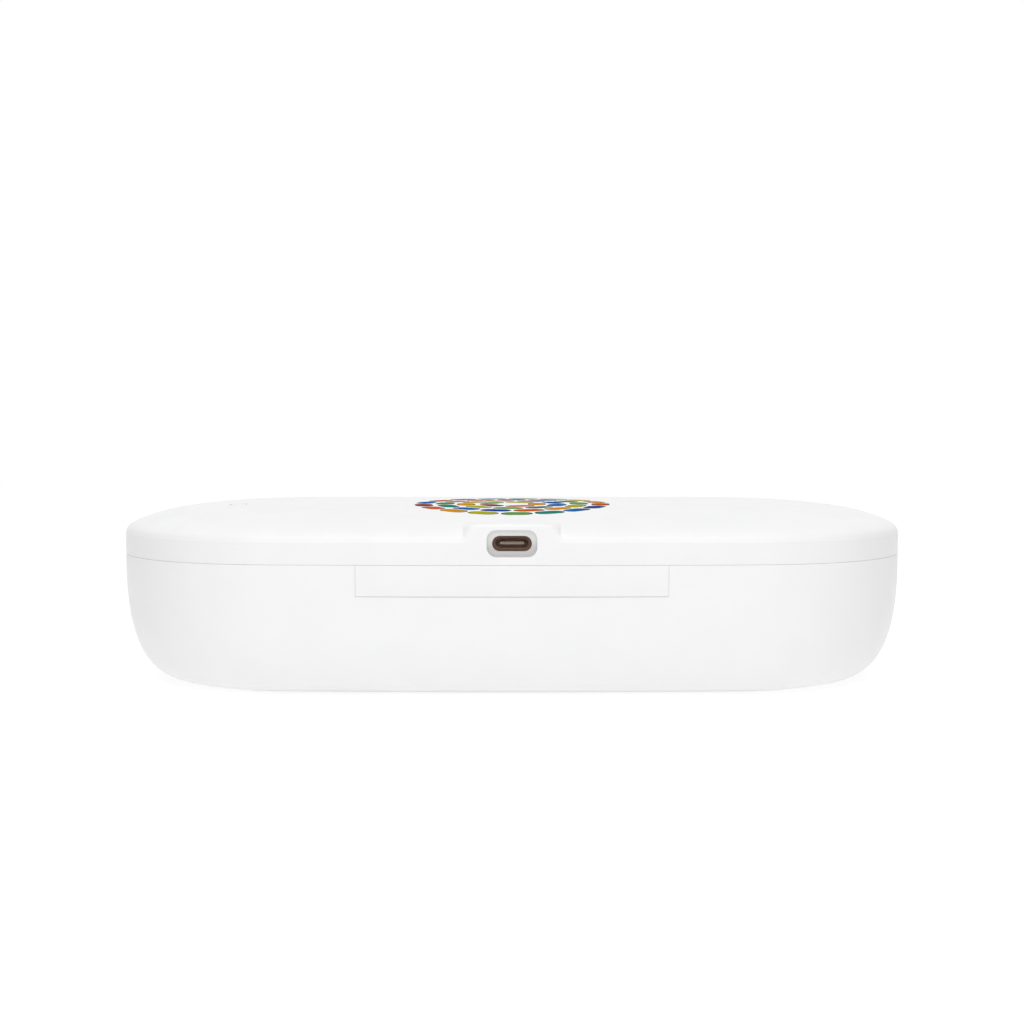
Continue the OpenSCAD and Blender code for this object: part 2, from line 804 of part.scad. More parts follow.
// Chips, coil, capacitor and flex sockets on the main board
module board_components() {
    color(chip_black) translate([0, board_rear, 0]) {
        for (item = [controller, coil, charger, driver]) on_board(item[0], item[1]);
        for (i = [0:resistor_count - 1])
            on_board(resistor[0] + [i * resistor_pitch, 0], resistor[1]);
    }
    color(seal_grey) {
        on_board(switch_socket, socket_size);
        on_board([0, led_socket_y], [socket_size.y, socket_size.x, socket_size.z]);
    }
    color(steel_grey) post(capacitor_pos, capacitor_r, board_top, board_top + capacitor_h);
}

// Box standing on a board, centred in plan
module on_board(p, size) {
    translate([p.x, p.y, board_top + size.z / 2]) cube(size, center = true);
}

// Screws that hold both boards to the lid
module board_screws() {
    color(steel_grey) for (p = concat(main_boss_pos, switch_boss_pos))
        screw_up(p, board_top - board_t, board_screw_l + board_t - slack);
}

// Metal shell of the socket, with a flange that fills the opening
module usb_shell() {
    flange_w = port_w - 2 * fit;
    flange_h = port_opening_h - 2 * fit;
    color(socket_brown) translate([0, 0, port_z]) difference() {
        union() {
            push_y(rounded_points(usb_w, usb_h, usb_h / 2 - sunk), usb_y - usb_l, usb_y);
            push_y(rounded_points(flange_w, flange_h, flange_h / 2 - sunk), usb_y - usb_flange, usb_y);
        }
        push_y(rounded_points(usb_w - 2 * usb_wall, usb_h - 2 * usb_wall, usb_h / 2 - usb_wall - sunk),
            usb_y - usb_l - over, usb_y + over);
    }
}

// Plastic back and tongue inside the socket
module usb_tongue() {
    inner_w = usb_w - 2 * usb_wall - fit;
    inner_h = usb_h - 2 * usb_wall - fit;
    color(socket_brown) translate([0, 0, port_z]) {
        push_y(rounded_points(inner_w, inner_h, inner_h / 2 - sunk),
            usb_y - usb_l, usb_y - usb_l + usb_back);
        block([-tongue_w / 2, usb_y - usb_l + usb_back - sunk, -tongue_h / 2],
            [tongue_w / 2, usb_y - usb_l + tongue_l, tongue_h / 2]);
    }
}

// Contact strips on both faces of the tongue
module usb_contacts() {
    color("gold") for (i = [0:contact_count - 1], face = [-1, 1])
        let (x = (i - (contact_count - 1) / 2) * contact_pitch, y = usb_y - usb_l + usb_back)
            translate([x, y + contact_l / 2, port_z + face * (tongue_h + contact_t) / 2])
                cube([contact_w, contact_l, contact_t], center = true);
}

// Small board under the power button
module switch_board() {
    color(board_green) difference() {
        translate([button_pos.x, button_pos.y, board_top - board_t / 2])
            cube([switch_board.x, switch_board.y, board_t], center = true);
        for (p = switch_boss_pos) post(p, screw_r + fit, board_top - board_t - over, board_top + over);
    }
}

// Switch that the power button presses
module tact_switch() {
    color(chip_black) {
        on_board(button_pos, [switch_w, switch_w, switch_h]);
        post(button_pos, plunger_r, board_top + switch_h - sunk, board_top + switch_h + plunger_h);
    }
}

// Flat cable between the main board and the switch board
module switch_flex() {
    start = [switch_socket.x + socket_size.x / 2, switch_socket.y];
    finish = button_pos + [-switch_flex_in.x, switch_board.y / 2 - switch_flex_in.y];
    half = flex_w / 2;
    color(flex_amber) translate([0, 0, board_top]) linear_extrude(flex_t) polygon([
        [start.x, start.y - half], [finish.x - half, start.y - half], [finish.x - half, finish.y],
        [finish.x + half, finish.y], [finish.x + half, start.y + half], [start.x, start.y + half]
    ]);
}

// Flat cable between the main board and the lamp board
module led_flex() {
    low = board_top;
    high = led_board_z + board_t;
    near = led_board_rear - flex_lap;
    far = led_socket_y - socket_size.x / 2;
    bend_near = led_board_rear + flex_bend;
    bend_far = board_front - flex_bend;
    color(flex_amber) push_x([
        [near, high], [bend_near, high], [bend_far, low], [far, low],
        [far, low + flex_t], [bend_far, low + flex_t], [bend_near, high + flex_t], [near, high + flex_t]
    ], flex_w);
}

// Power button, with the collar that holds it in the lid
module power_button() {
    face_z = crown_z(inset_at(button_pos));
    collar_z = guide_z - collar_t - fit;
    color(shell_white) {
        post(button_pos, button_r, collar_z, face_z);
        post(button_pos, collar_r, collar_z, collar_z + collar_t);
        post(button_pos, plunger_r, board_top + switch_h + plunger_h + button_travel + fit, collar_z + sunk);
    }
}

lower_case();
chamber_tray();
phone_rests();
rim_seal();
catch_plates();
rubber_feet();
tray_screws();
lid_cover();
hinge_block();
hinge_pins();
hinge_screws();
lid_liner();
liner_screws();
lid_magnets();
uv_windows();
uv_led_board();
uv_leds();
led_board_screws();
main_board();
board_components();
board_screws();
usb_shell();
usb_tongue();
usb_contacts();
switch_board();
tact_switch();
switch_flex();
led_flex();
power_button();
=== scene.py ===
"""Looks of an ultraviolet sanitizer box for phones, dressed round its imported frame.

Each sub-assembly of the box is a class that works its surfaces out with numpy and gives them
their finishes. Sizes are in millimetres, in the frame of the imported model: +Z up, the hinge and
the socket at +Y. The meshes are in metres, with each object at the origin.
"""

from __future__ import annotations

import logging
import math
from dataclasses import dataclass, field
from enum import Enum

import bpy
import numpy as np
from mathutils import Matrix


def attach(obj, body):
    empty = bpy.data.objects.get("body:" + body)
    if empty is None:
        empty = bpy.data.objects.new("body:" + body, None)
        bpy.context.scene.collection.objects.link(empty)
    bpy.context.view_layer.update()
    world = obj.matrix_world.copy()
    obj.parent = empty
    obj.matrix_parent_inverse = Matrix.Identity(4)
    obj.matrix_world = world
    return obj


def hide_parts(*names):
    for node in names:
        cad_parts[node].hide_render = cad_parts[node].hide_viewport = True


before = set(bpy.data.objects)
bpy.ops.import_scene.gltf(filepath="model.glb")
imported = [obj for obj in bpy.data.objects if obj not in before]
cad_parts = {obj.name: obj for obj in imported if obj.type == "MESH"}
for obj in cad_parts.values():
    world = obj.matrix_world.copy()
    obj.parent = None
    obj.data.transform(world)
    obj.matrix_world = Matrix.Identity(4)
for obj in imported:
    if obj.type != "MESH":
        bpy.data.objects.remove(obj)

LOG = logging.getLogger("sanitizer_box")
MM = 0.001
WHITE = (1.0, 1.0, 1.0, 1.0)


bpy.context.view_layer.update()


class Body(Enum):
    """Bodies of the frame that a piece can ride on."""

    BASE = "base"
    LID = "lid"
    BUTTON = "power_button"


class Cut(Enum):
    """Ways in which one solid changes another."""

    AWAY = "DIFFERENCE"
    JOIN = "UNION"


# ---------------------------------------------------------------------------- solids


Spot = tuple[float, float]
Point = tuple[float, float, float]
Tint = tuple[float, float, float]


@dataclass
class Solid:
    """Closed surface, as points and groups of faces with the same number of corners."""

    points: np.ndarray
    faces: list[np.ndarray]

    def __add__(self, other: Solid) -> Solid:
        """Puts two solids side by side in one."""
        shift = len(self.points)
        return Solid(
            np.concatenate([self.points, other.points]),
            self.faces + [f + shift for f in other.faces],
        )

    def outward(self) -> Solid:
        """Turns the faces outwards if the volume they close comes out negative.

        Returns:
            The same solid with its faces pointing outwards.
        """
        total = 0.0
        for group in self.faces:
            a = self.points[group[:, 0]]
            for k in range(1, group.shape[1] - 1):
                b, c = self.points[group[:, k]], self.points[group[:, k + 1]]
                total += float(np.einsum("ij,ij->i", a, np.cross(b, c)).sum())
        if total < 0:
            self.faces = [g[:, ::-1] for g in self.faces]
        return self

    def moved(self, shift: Point) -> Solid:
        """Gives a copy that is moved by a shift in millimetres."""
        return Solid(self.points + np.asarray(shift, float), list(self.faces))

    def to_mesh(self, name: str) -> bpy.types.Mesh:
        """Writes the solid into a mesh, in metres.

        Args:
            name: Name of the new mesh.

        Returns:
            The mesh, with smooth faces.
        """
        mesh = bpy.data.meshes.new(name)
        corners = np.concatenate([g.ravel() for g in self.faces]).astype(np.int32)
        counts = np.concatenate([np.full(len(g), g.shape[1]) for g in self.faces])
        starts = np.concatenate([[0], np.cumsum(counts)[:-1]]).astype(np.int32)
        mesh.vertices.add(len(self.points))
        mesh.vertices.foreach_set("co", (self.points * MM).astype(np.float32).ravel())
        mesh.loops.add(len(corners))
        mesh.loops.foreach_set("vertex_index", corners)
        mesh.polygons.add(len(counts))
        mesh.polygons.foreach_set("loop_start", starts)
        mesh.polygons.foreach_set("use_smooth", np.ones(len(counts), bool))
        mesh.update(calc_edges=True)
        mesh.validate()
        return mesh


def lofted(sections: np.ndarray, caps: bool = True, looped: bool = False) -> Solid:
    """Joins closed sections into a surface.

    The surface is P(k, i), with section k along the path and point i round the section, which
    closes on itself. Each quad joins two neighbours in k and two in i.

    Args:
        sections: Points as an array of sections x points x 3.
        caps: Closes the first and the last section with flat faces.
        looped: Joins the last section to the first instead.

    Returns:
        The closed solid.
    """
    m, n = sections.shape[:2]
    k, i = np.meshgrid(np.arange(m if looped else m - 1), np.arange(n), indexing="ij")
    after, beside = (k + 1) % m, (i + 1) % n
    quads = np.stack(
        [k * n + i, k * n + beside, after * n + beside, after * n + i], axis=-1
    )
    faces = [quads.reshape(-1, 4)]
    if caps and not looped:
        ring = np.arange(n)
        faces += [ring[::-1][None, :], ((m - 1) * n + ring)[None, :]]
    return Solid(sections.reshape(-1, 3), faces).outward()


def turned(profile: np.ndarray, sides: int = 64, at: Spot = (0.0, 0.0)) -> Solid:
    """Turns a profile round a vertical axis: P = (x + r cos a, y + r sin a, z).

    Args:
        profile: Radii and heights in millimetres, from one end to the other.
        sides: Number of steps round the axis.
        at: Place (x, y) of the axis.

    Returns:
        The closed solid.
    """
    angle = np.linspace(0, 2 * math.pi, sides, endpoint=False)
    r, z = profile[:, :1], profile[:, 1:]
    high = np.broadcast_to(z, (len(profile), sides))
    rings = np.stack([at[0] + r * np.cos(angle), at[1] + r * np.sin(angle), high], axis=-1)
    return lofted(rings)


def rounded_outline(width: float, height: float, radius: float, steps: int = 8) -> np.ndarray:
    """Points of a rectangle whose corners are quarter circles, anticlockwise.

    Args:
        width: Full width.
        height: Full height.
        radius: Radius of the corners.
        steps: Steps in each corner.

    Returns:
        The points as an array of n x 2.
    """
    quarter = np.arange(4).repeat(steps + 1)
    turn = np.radians(90.0) * (quarter + np.tile(np.linspace(0, 1, steps + 1), 4))
    sx = np.where((quarter == 0) | (quarter == 3), 1.0, -1.0)
    sy = np.where(quarter < 2, 1.0, -1.0)
    centre = np.stack([sx * (width / 2 - radius), sy * (height / 2 - radius)], axis=-1)
    return centre + radius * np.stack([np.cos(turn), np.sin(turn)], axis=-1)


def pushed_y(
    outlines: list[np.ndarray], places: list[float], height: float, looped: bool = False
) -> Solid:
    """Joins outlines in the XZ plane along Y: P = (x, y(k), height + z).

    Args:
        outlines: One outline for each place, all with the same number of points.
        places: Distances along Y.
        height: Height of the outlines' middle.
        looped: Joins the last outline to the first.

    Returns:
        The closed solid.
    """
    rings = [
        np.stack([o[:, 0], np.full(len(o), y), o[:, 1] + height], axis=-1)
        for o, y in zip(outlines, places)
    ]
    return lofted(np.stack(rings), looped=looped)


def upright(outline: np.ndarray, low: float, high: float) -> Solid:
    """Raises an outline in the XY plane from one height to another."""
    rings = [np.column_stack([outline, np.full(len(outline), z)]) for z in (low, high)]
    return lofted(np.stack(rings))


def post(place: Spot, radius: float, low: float, high: float, sides: int = 48) -> Solid:
    """Upright cylinder at a place, from one height to another."""
    return turned(np.array([[radius, low], [radius, high]]), sides, place)


def sunk(place: Spot, wide: float, narrow: float, levels: tuple[float, float, float]) -> Solid:
    """Tool for a screw's hole with a wider mouth below.

    Args:
        place: Place of its axis.
        wide: Radius of the mouth.
        narrow: Radius of the hole.
        levels: Heights of the mouth's bottom, of the seat and of the hole's top.

    Returns:
        The tool.
    """
    low, seat, high = levels
    return turned(np.array([[wide, low], [wide, seat], [narrow, seat], [narrow, high]]), 40, place)


def block(low: Point, high: Point) -> Solid:
    """Box given by its lowest and its highest corner."""
    x0, y0, z0 = low
    x1, y1, z1 = high
    return upright(np.array([[x0, y0], [x1, y0], [x1, y1], [x0, y1]]), z0, z1)


def merged(parts: list[Solid]) -> Solid:
    """Puts a list of solids side by side in one."""
    whole = parts[0]
    for part in parts[1:]:
        whole = whole + part
    return whole


def placed(name: str, data: bpy.types.ID) -> bpy.types.Object:
    """Makes an object and links it to the scene."""
    thing = bpy.data.objects.new(name, data)
    bpy.context.scene.collection.objects.link(thing)
    return thing


def carved(solid: Solid, tool: Solid, cut: Cut) -> Solid:
    """Cuts a tool out of a solid, or joins it to the solid, as true geometry.

    Args:
        solid: The solid to change.
        tool: The closed solid that changes it.
        cut: Whether the tool is cut away or joined.

    Returns:
        The changed solid.
    """
    work = placed("work", solid.to_mesh("work"))
    other = placed("tool", tool.to_mesh("tool"))
    change = work.modifiers.new("change", "BOOLEAN")
    change.operation, change.object, change.solver = cut.value, other, "EXACT"
    graph = bpy.context.evaluated_depsgraph_get()
    mesh = bpy.data.meshes.new_from_object(work.evaluated_get(graph))
    result = read_mesh(mesh)
    for thing in (work, other):
        data = thing.data
        bpy.data.objects.remove(thing)
        bpy.data.meshes.remove(data)
    bpy.data.meshes.remove(mesh)
    return result


def read_mesh(mesh: bpy.types.Mesh) -> Solid:
    """Reads a mesh back into a solid, in millimetres.

    Args:
        mesh: The mesh to read.

    Returns:
        Its points and its faces, grouped by their number of corners.
    """
    points = np.empty(len(mesh.vertices) * 3, np.float32)
    mesh.vertices.foreach_get("co", points)
    corners = np.empty(len(mesh.loops), np.int32)
    mesh.loops.foreach_get("vertex_index", corners)
    starts = np.empty(len(mesh.polygons), np.int32)
    counts = np.empty(len(mesh.polygons), np.int32)
    mesh.polygons.foreach_get("loop_start", starts)
    mesh.polygons.foreach_get("loop_total", counts)
    faces = [
        corners[starts[counts == size][:, None] + np.arange(size)] for size in np.unique(counts)
    ]
    return Solid(points.reshape(-1, 3).astype(float) / MM, faces)


# ---------------------------------------------------------------------------- outline


@dataclass(frozen=True)
class Outline:
    """Outline of the case from above: two bowed long sides and two bowed short sides, joined by
    round corners. A point is centre + (radius - inset) * direction, for an inset drawn in square
    to the outline."""

    width: float = 212.0
    depth: float = 119.0
    corner_radius: float = 46.0
    long_bow: float = 4.2
    short_bow: float = 7.3
    short_steps: int = 5
    corner_steps: int = 30
    long_steps: int = 12
    long_end: float = 24.0
    marks: tuple[float, ...] = ()

    @property
    def long_radius(self) -> float:
        """Radius of the long sides' bow."""
        half = self.width / 2
        return (half**2 + self.long_bow**2) / (2 * self.long_bow)

    @property
    def short_radius(self) -> float:
        """Radius of the short sides' bow."""
        half = self.depth / 2
        return (half**2 + self.short_bow**2) / (2 * self.short_bow)

    def rear(self, x: np.ndarray | float) -> np.ndarray:
        """Distance of the rear side along Y for a distance x from the middle."""
        return self.depth / 2 - self.long_radius + np.sqrt(self.long_radius**2 - np.square(x))

    def centres(self) -> tuple[np.ndarray, np.ndarray, np.ndarray]:
        """Works out the centres of the three arcs of a quarter of the outline.

        The corner's centre is where the circles of radius short - corner and long - corner about
        the two bows' centres meet.

        Returns:
            Centres of the short side's bow, of the corner and of the long side's bow.
        """
        long_c = np.array([0.0, self.depth / 2 - self.long_radius])
        short_c = np.array([self.width / 2 - self.short_radius, 0.0])
        ra, rb = self.short_radius - self.corner_radius, self.long_radius - self.corner_radius
        gap = np.linalg.norm(long_c - short_c)
        along = (ra**2 - rb**2 + gap**2) / (2 * gap)
        u = (long_c - short_c) / gap
        corner_c = short_c + along * u + math.sqrt(ra**2 - along**2) * np.array([-u[1], u[0]])
        return short_c, corner_c, long_c

    def end_inset(self, points: np.ndarray) -> np.ndarray:
        """Insets of points near a short side: radius - |point - centre|, for n x 3 points."""
        middle = self.centres()[0][0]
        return self.short_radius - np.hypot(np.abs(points[:, 0]) - middle, points[:, 1])

    def inset_at(self, place: Spot) -> float:
        """Works out how far a place lies inside the outline.

        Args:
            place: The place, from above.

        Returns:
            Its distance from the nearest arc: radius - |place - centre|.
        """
        spot = np.abs(np.asarray(place, float))
        short_c, corner_c, long_c = self.centres()
        if (spot > corner_c).all():
            return self.corner_radius - float(np.linalg.norm(spot - corner_c))
        bows = ((short_c, self.short_radius), (long_c, self.long_radius))
        return min(radius - float(np.linalg.norm(spot - centre)) for centre, radius in bows)

    def arcs(self) -> tuple[np.ndarray, np.ndarray, np.ndarray]:
        """Works out the whole outline, anticlockwise from +X.

        The long side is sampled by its distance from the middle, evenly to long_end and then
        at the marks.

        Returns:
            Centres (n x 2), radii (n) and directions (n x 2) of the outline's points.
        """
        short_c, corner_c, long_c = self.centres()
        start = math.atan2(*(corner_c - short_c)[::-1])
        end = math.atan2(*(corner_c - long_c)[::-1])
        reach = self.long_radius * math.cos(end)
        spots = np.array([*np.linspace(reach, self.long_end, self.long_steps), *self.marks])
        near = np.linspace(0, start, self.short_steps, endpoint=False)
        round_part = np.linspace(start, end, self.corner_steps, endpoint=False)
        parts = [
            (short_c, self.short_radius, near),
            (corner_c, self.corner_radius, round_part),
            (long_c, self.long_radius, np.arccos(spots / self.long_radius)),
        ]
        centre = np.concatenate([np.tile(c, (len(a), 1)) for c, _, a in parts])
        radius = np.concatenate([np.full(len(a), r) for _, r, a in parts])
        turn = np.concatenate([a for _, _, a in parts])
        way = np.stack([np.cos(turn), np.sin(turn)], axis=-1)
        n = len(radius) - 1
        order = [(slice(0, n), (1, 1)), (slice(n, 0, -1), (-1, 1))]
        order += [(slice(0, n), (-1, -1)), (slice(n, 0, -1), (1, -1))]
        return (
            np.concatenate([centre[s] * sign for s, sign in order]),
            np.concatenate([radius[s] for s, _ in order]),
            np.concatenate([way[s] * sign for s, sign in order]),
        )

    def rings(
        self, inset: np.ndarray, height: np.ndarray, scale: np.ndarray | float = 1.0
    ) -> np.ndarray:
        """Carries a profile round the outline: P(k, i) = (scale * outline(inset(k, i)), z(k, i)).

        Args:
            inset: Insets, one for each ring or one for each ring and point.
            height: Heights, in the same layout.
            scale: Shrinks a ring about the middle, one for each ring.

        Returns:
            Points as an array of rings x points x 3.
        """
        centre, radius, way = self.arcs()
        if inset.ndim == 1:
            inset, height = inset[:, None], height[:, None]
        shape = (inset.shape[0], len(radius))
        plan = centre + (radius - inset)[..., None] * way
        plan = plan * np.reshape(scale, (-1, 1, 1))
        return np.concatenate(
            [np.broadcast_to(plan, (*shape, 2)), np.broadcast_to(height, shape)[..., None]], axis=-1
        )

    def carried(self, profile: np.ndarray, looped: bool = False) -> Solid:
        """Carries a profile of insets and heights round the outline as a closed solid."""
        return lofted(self.rings(profile[:, 0], profile[:, 1]), looped=looped)


# ---------------------------------------------------------------------------- node graphs


Socket = bpy.types.NodeSocket


class Graph:
    """Short way to lay nodes out in a material or a group."""

    def __init__(self, tree: bpy.types.NodeTree) -> None:
        """Keeps the tree that the nodes go into."""
        self.tree = tree

    def node(
        self,
        kind: str,
        settings: dict[str, object] | None = None,
        inputs: dict[str | int, object] | None = None,
    ) -> bpy.types.Node:
        """Adds a shader node.

        Args:
            kind: Type of the node, without the words ShaderNode before it.
            settings: Properties to set on it.
            inputs: Values or sockets for its inputs.

        Returns:
            The new node.
        """
        made = self.tree.nodes.new(f"ShaderNode{kind}")
        for key, value in (settings or {}).items():
            setattr(made, key, value)
        for key, value in (inputs or {}).items():
            self.feed(made.inputs[key], value)
        return made

    def feed(self, socket: Socket, value: object) -> None:
        """Links a socket to another one, or sets its value."""
        if isinstance(value, Socket):
            self.tree.links.new(value, socket)
        else:
            socket.default_value = value

    def sum(self, operation: str, a: object, b: object = 0.0, c: object = 0.0) -> Socket:
        """Adds a Math node and gives its result."""
        return self.node("Math", {"operation": operation}, {0: a, 1: b, 2: c}).outputs[0]

    def vector(self, operation: str, a: object, b: object = (0, 0, 0)) -> Socket:
        """Adds a Vector Math node and gives its vector."""
        return self.node("VectorMath", {"operation": operation}, {0: a, 1: b}).outputs[0]

    def scaled(self, vector: object, factor: object) -> Socket:
        """Multiplies a vector by a number."""
        inputs = {0: vector, "Scale": factor}
        return self.node("VectorMath", {"operation": "SCALE"}, inputs).outputs[0]

    def axes(self, vector: object) -> list[Socket]:
        """Splits a vector into x, y and z."""
        return list(self.node("SeparateXYZ", None, {0: vector}).outputs)

    def hypot(self, a: object, b: object) -> Socket:
        """Works out sqrt(a^2 + b^2)."""
        squares = [self.sum("MULTIPLY", part, part) for part in (a, b)]
        return self.sum("SQRT", self.sum("ADD", *squares))

    def spread(
        self,
        value: object,
        low: float,
        high: float,
        to_low: float = 0.0,
        to_high: float = 1.0,
        smooth: bool = False,
    ) -> Socket:
        """Adds a clamped Map Range node from one range of values to another."""
        kind = {"interpolation_type": "SMOOTHSTEP" if smooth else "LINEAR"}
        inputs = {0: value, 1: low, 2: high, 3: to_low, 4: to_high}
        return self.node("MapRange", kind, inputs).outputs[0]

    def noise(
        self, vector: object, scale: object, detail: float = 2.0, rough: float = 0.5
    ) -> Socket:
        """Adds a noise texture and gives its value."""
        inputs = {"Vector": vector, "Scale": scale, "Detail": detail, "Roughness": rough}
        return self.node("TexNoise", None, inputs).outputs[0]

    def shaders(self, part: object, a: bpy.types.Node, b: bpy.types.Node) -> bpy.types.Node:
        """Mixes two shaders by a part from 0 to 1."""
        return self.node("MixShader", None, {0: part, 1: a.outputs[0], 2: b.outputs[0]})

    def mix(self, part: object, a: object, b: object) -> Socket:
        """Mixes two colours by a part from 0 to 1."""
        made = self.node("Mix", {"data_type": "RGBA"})
        for index, value in ((0, part), (6, a), (7, b)):
            self.feed(made.inputs[index], value)
        return made.outputs[2]

    def ramp(self, value: object, stops: list[tuple[float, Tint]]) -> Socket:
        """Adds a colour ramp.

        Args:
            value: Position on the ramp.
            stops: Positions and colours, in order.

        Returns:
            The ramp's colour.
        """
        made = self.node("ValToRGB", None, {0: value})
        band = made.color_ramp
        while len(band.elements) < len(stops):
            band.elements.new(0.5)
        for element, (place, colour) in zip(band.elements, stops):
            element.position, element.color = place, (*colour, 1.0)
        return made.outputs[0]

    def group(self, name: str, inputs: dict[str | int, object]) -> bpy.types.Node:
        """Places a shared group."""
        return self.node("Group", {"node_tree": bpy.data.node_groups[name]}, inputs)


def cleared(owner: bpy.types.Material | bpy.types.World) -> Graph:
    """Gives the emptied node tree of a material or a world."""
    owner.use_nodes = True
    owner.node_tree.nodes.clear()
    return Graph(owner.node_tree)


def new_group(
    name: str, inputs: dict[str, str], outputs: dict[str, str]
) -> tuple[Graph, bpy.types.Node, bpy.types.Node]:
    """Starts a shared shader group with named sockets.

    Args:
        name: Name of the group.
        inputs: Names and socket kinds of its inputs.
        outputs: Names and socket kinds of its outputs.

    Returns:
        The group's graph, its input node and its output node.
    """
    tree = bpy.data.node_groups.new(name, "ShaderNodeTree")
    for way, sockets in (("INPUT", inputs), ("OUTPUT", outputs)):
        for label, kind in sockets.items():
            tree.interface.new_socket(name=label, in_out=way, socket_type=kind)
    return Graph(tree), tree.nodes.new("NodeGroupInput"), tree.nodes.new("NodeGroupOutput")


NUMBER, VECTOR, COLOUR = "NodeSocketFloat", "NodeSocketVector", "NodeSocketColor"
GRAIN, BRUSHED, SMUDGE = "fine_grain", "brushed_lines", "smudges"
DASHES, TRACES = "dash_rings", "traces"
BROAD_MOTTLE = 0.09
RINGS, RING_START, RING_STEP = 4, 4.0, 5.8
FIRST_DASHES, MORE_DASHES, RING_TWIST = 5.0, 4.0, 0.37
DASH_HUE, RING_HUE = 0.137, 0.29


def build_grain_group() -> None:
    """Fine grain of a moulded surface: two noises of different size, as a height and a mottle."""
    g, start, end = new_group(
        GRAIN, {"Place": VECTOR, "Density": NUMBER}, {"Height": NUMBER, "Mottle": NUMBER}
    )
    fine = g.noise(start.outputs["Place"], start.outputs["Density"], 2.0, 0.6)
    broad = g.noise(start.outputs["Place"], BROAD_MOTTLE)
    g.feed(end.inputs["Height"], fine)
    g.feed(end.inputs["Mottle"], g.spread(broad, 0.35, 0.65))


def build_brushed_group() -> None:
    """Brushed or drawn metal: noise that is stretched along one axis by a scaled place."""
    g, start, end = new_group(
        BRUSHED, {"Place": VECTOR, "Stretch": VECTOR}, {"Height": NUMBER, "Streak": NUMBER}
    )
    place = g.vector("MULTIPLY", start.outputs["Place"], start.outputs["Stretch"])
    lines = g.noise(place, 1.0, 3.0, 0.65)
    g.feed(end.inputs["Height"], lines)
    g.feed(end.inputs["Streak"], g.spread(lines, 0.3, 0.7))


def build_smudge_group() -> None:
    """Faint handling marks on a bright surface: broad noise with a soft threshold."""
    g, start, end = new_group(SMUDGE, {"Place": VECTOR, "Size": NUMBER}, {"Mark": NUMBER})
    place = g.scaled(start.outputs["Place"], g.sum("DIVIDE", 1.0, start.outputs["Size"]))
    marks = g.noise(place, 1.0, 4.0, 0.55)
    g.feed(end.inputs["Mark"], g.spread(marks, 0.5, 0.72, smooth=True))


def build_dash_group() -> None:
    """Rings of short round-ended dashes in the colours of the spectrum.

    With r and a the polar coordinates of a place, the ring is i = floor((r - 4) / 5.8), its
    middle radius R = 6.9 + 5.8 i, and it holds n = 5 + 4 i dashes. A dash is a capsule whose
    distance is hypot(max(|t| - h, 0), r - R) - w, with t the distance along the arc from the
    dash's middle, h half its straight length and w half its width.
    """
    g, start, end = new_group(
        DASHES,
        {"Place": VECTOR, "Half Width": NUMBER, "Fill": NUMBER},
        {"Ink": NUMBER, "Rim": NUMBER, "Colour": COLOUR},
    )
    half_width = start.outputs["Half Width"]
    x, y, _ = g.axes(start.outputs["Place"])
    r = g.hypot(x, y)
    turn = g.sum("DIVIDE", g.sum("ARCTAN2", y, x), 2 * math.pi)
    ring = g.sum("FLOOR", g.sum("DIVIDE", g.sum("SUBTRACT", r, RING_START), RING_STEP))
    middle = g.sum("MULTIPLY_ADD", ring, RING_STEP, RING_START + RING_STEP / 2)
    count = g.sum("MULTIPLY_ADD", ring, MORE_DASHES, FIRST_DASHES)
    dash = g.sum("MULTIPLY_ADD", ring, RING_TWIST, g.sum("MULTIPLY", turn, count))
    cell = g.sum("FLOORED_MODULO", g.sum("FLOOR", dash), count)
    arc = g.sum("DIVIDE", g.sum("MULTIPLY", middle, 2 * math.pi), count)
    along = g.sum("MULTIPLY", g.sum("SUBTRACT", g.sum("FRACT", dash), 0.5), arc)
    filled = g.sum("MULTIPLY", g.sum("MULTIPLY", arc, 0.5), start.outputs["Fill"])
    half = g.sum("SUBTRACT", filled, half_width)
    over = g.sum("MAXIMUM", g.sum("SUBTRACT", g.sum("ABSOLUTE", along), half), 0.0)
    far = g.hypot(over, g.sum("SUBTRACT", r, middle))
    wobble = g.sum("SUBTRACT", g.noise(start.outputs["Place"], 0.9), 0.5)
    apart = g.sum("MULTIPLY_ADD", wobble, 0.5, g.sum("SUBTRACT", far, half_width))
    inside = g.spread(apart, -0.05, 0.05, 1.0, 0.0)
    inner, outer = g.sum("GREATER_THAN", ring, -0.5), g.sum("LESS_THAN", ring, RINGS - 0.5)
    g.feed(end.inputs["Ink"], g.sum("MULTIPLY", inside, g.sum("MULTIPLY", inner, outer)))
    g.feed(end.inputs["Rim"], g.spread(apart, -0.55, -0.25))
    shade = g.sum("MULTIPLY_ADD", cell, DASH_HUE, g.sum("MULTIPLY", ring, RING_HUE))
    stops = [
        (0.0, (0.26, 0.030, 0.012)),
        (0.16, (0.62, 0.11, 0.006)),
        (0.3, (0.60, 0.27, 0.004)),
        (0.44, (0.33, 0.40, 0.004)),
        (0.58, (0.05, 0.30, 0.012)),
        (0.72, (0.005, 0.17, 0.19)),
        (0.86, (0.005, 0.11, 0.42)),
        (1.0, (0.01, 0.04, 0.27)),
    ]
    g.feed(end.inputs["Colour"], g.ramp(g.sum("FRACT", shade), stops))


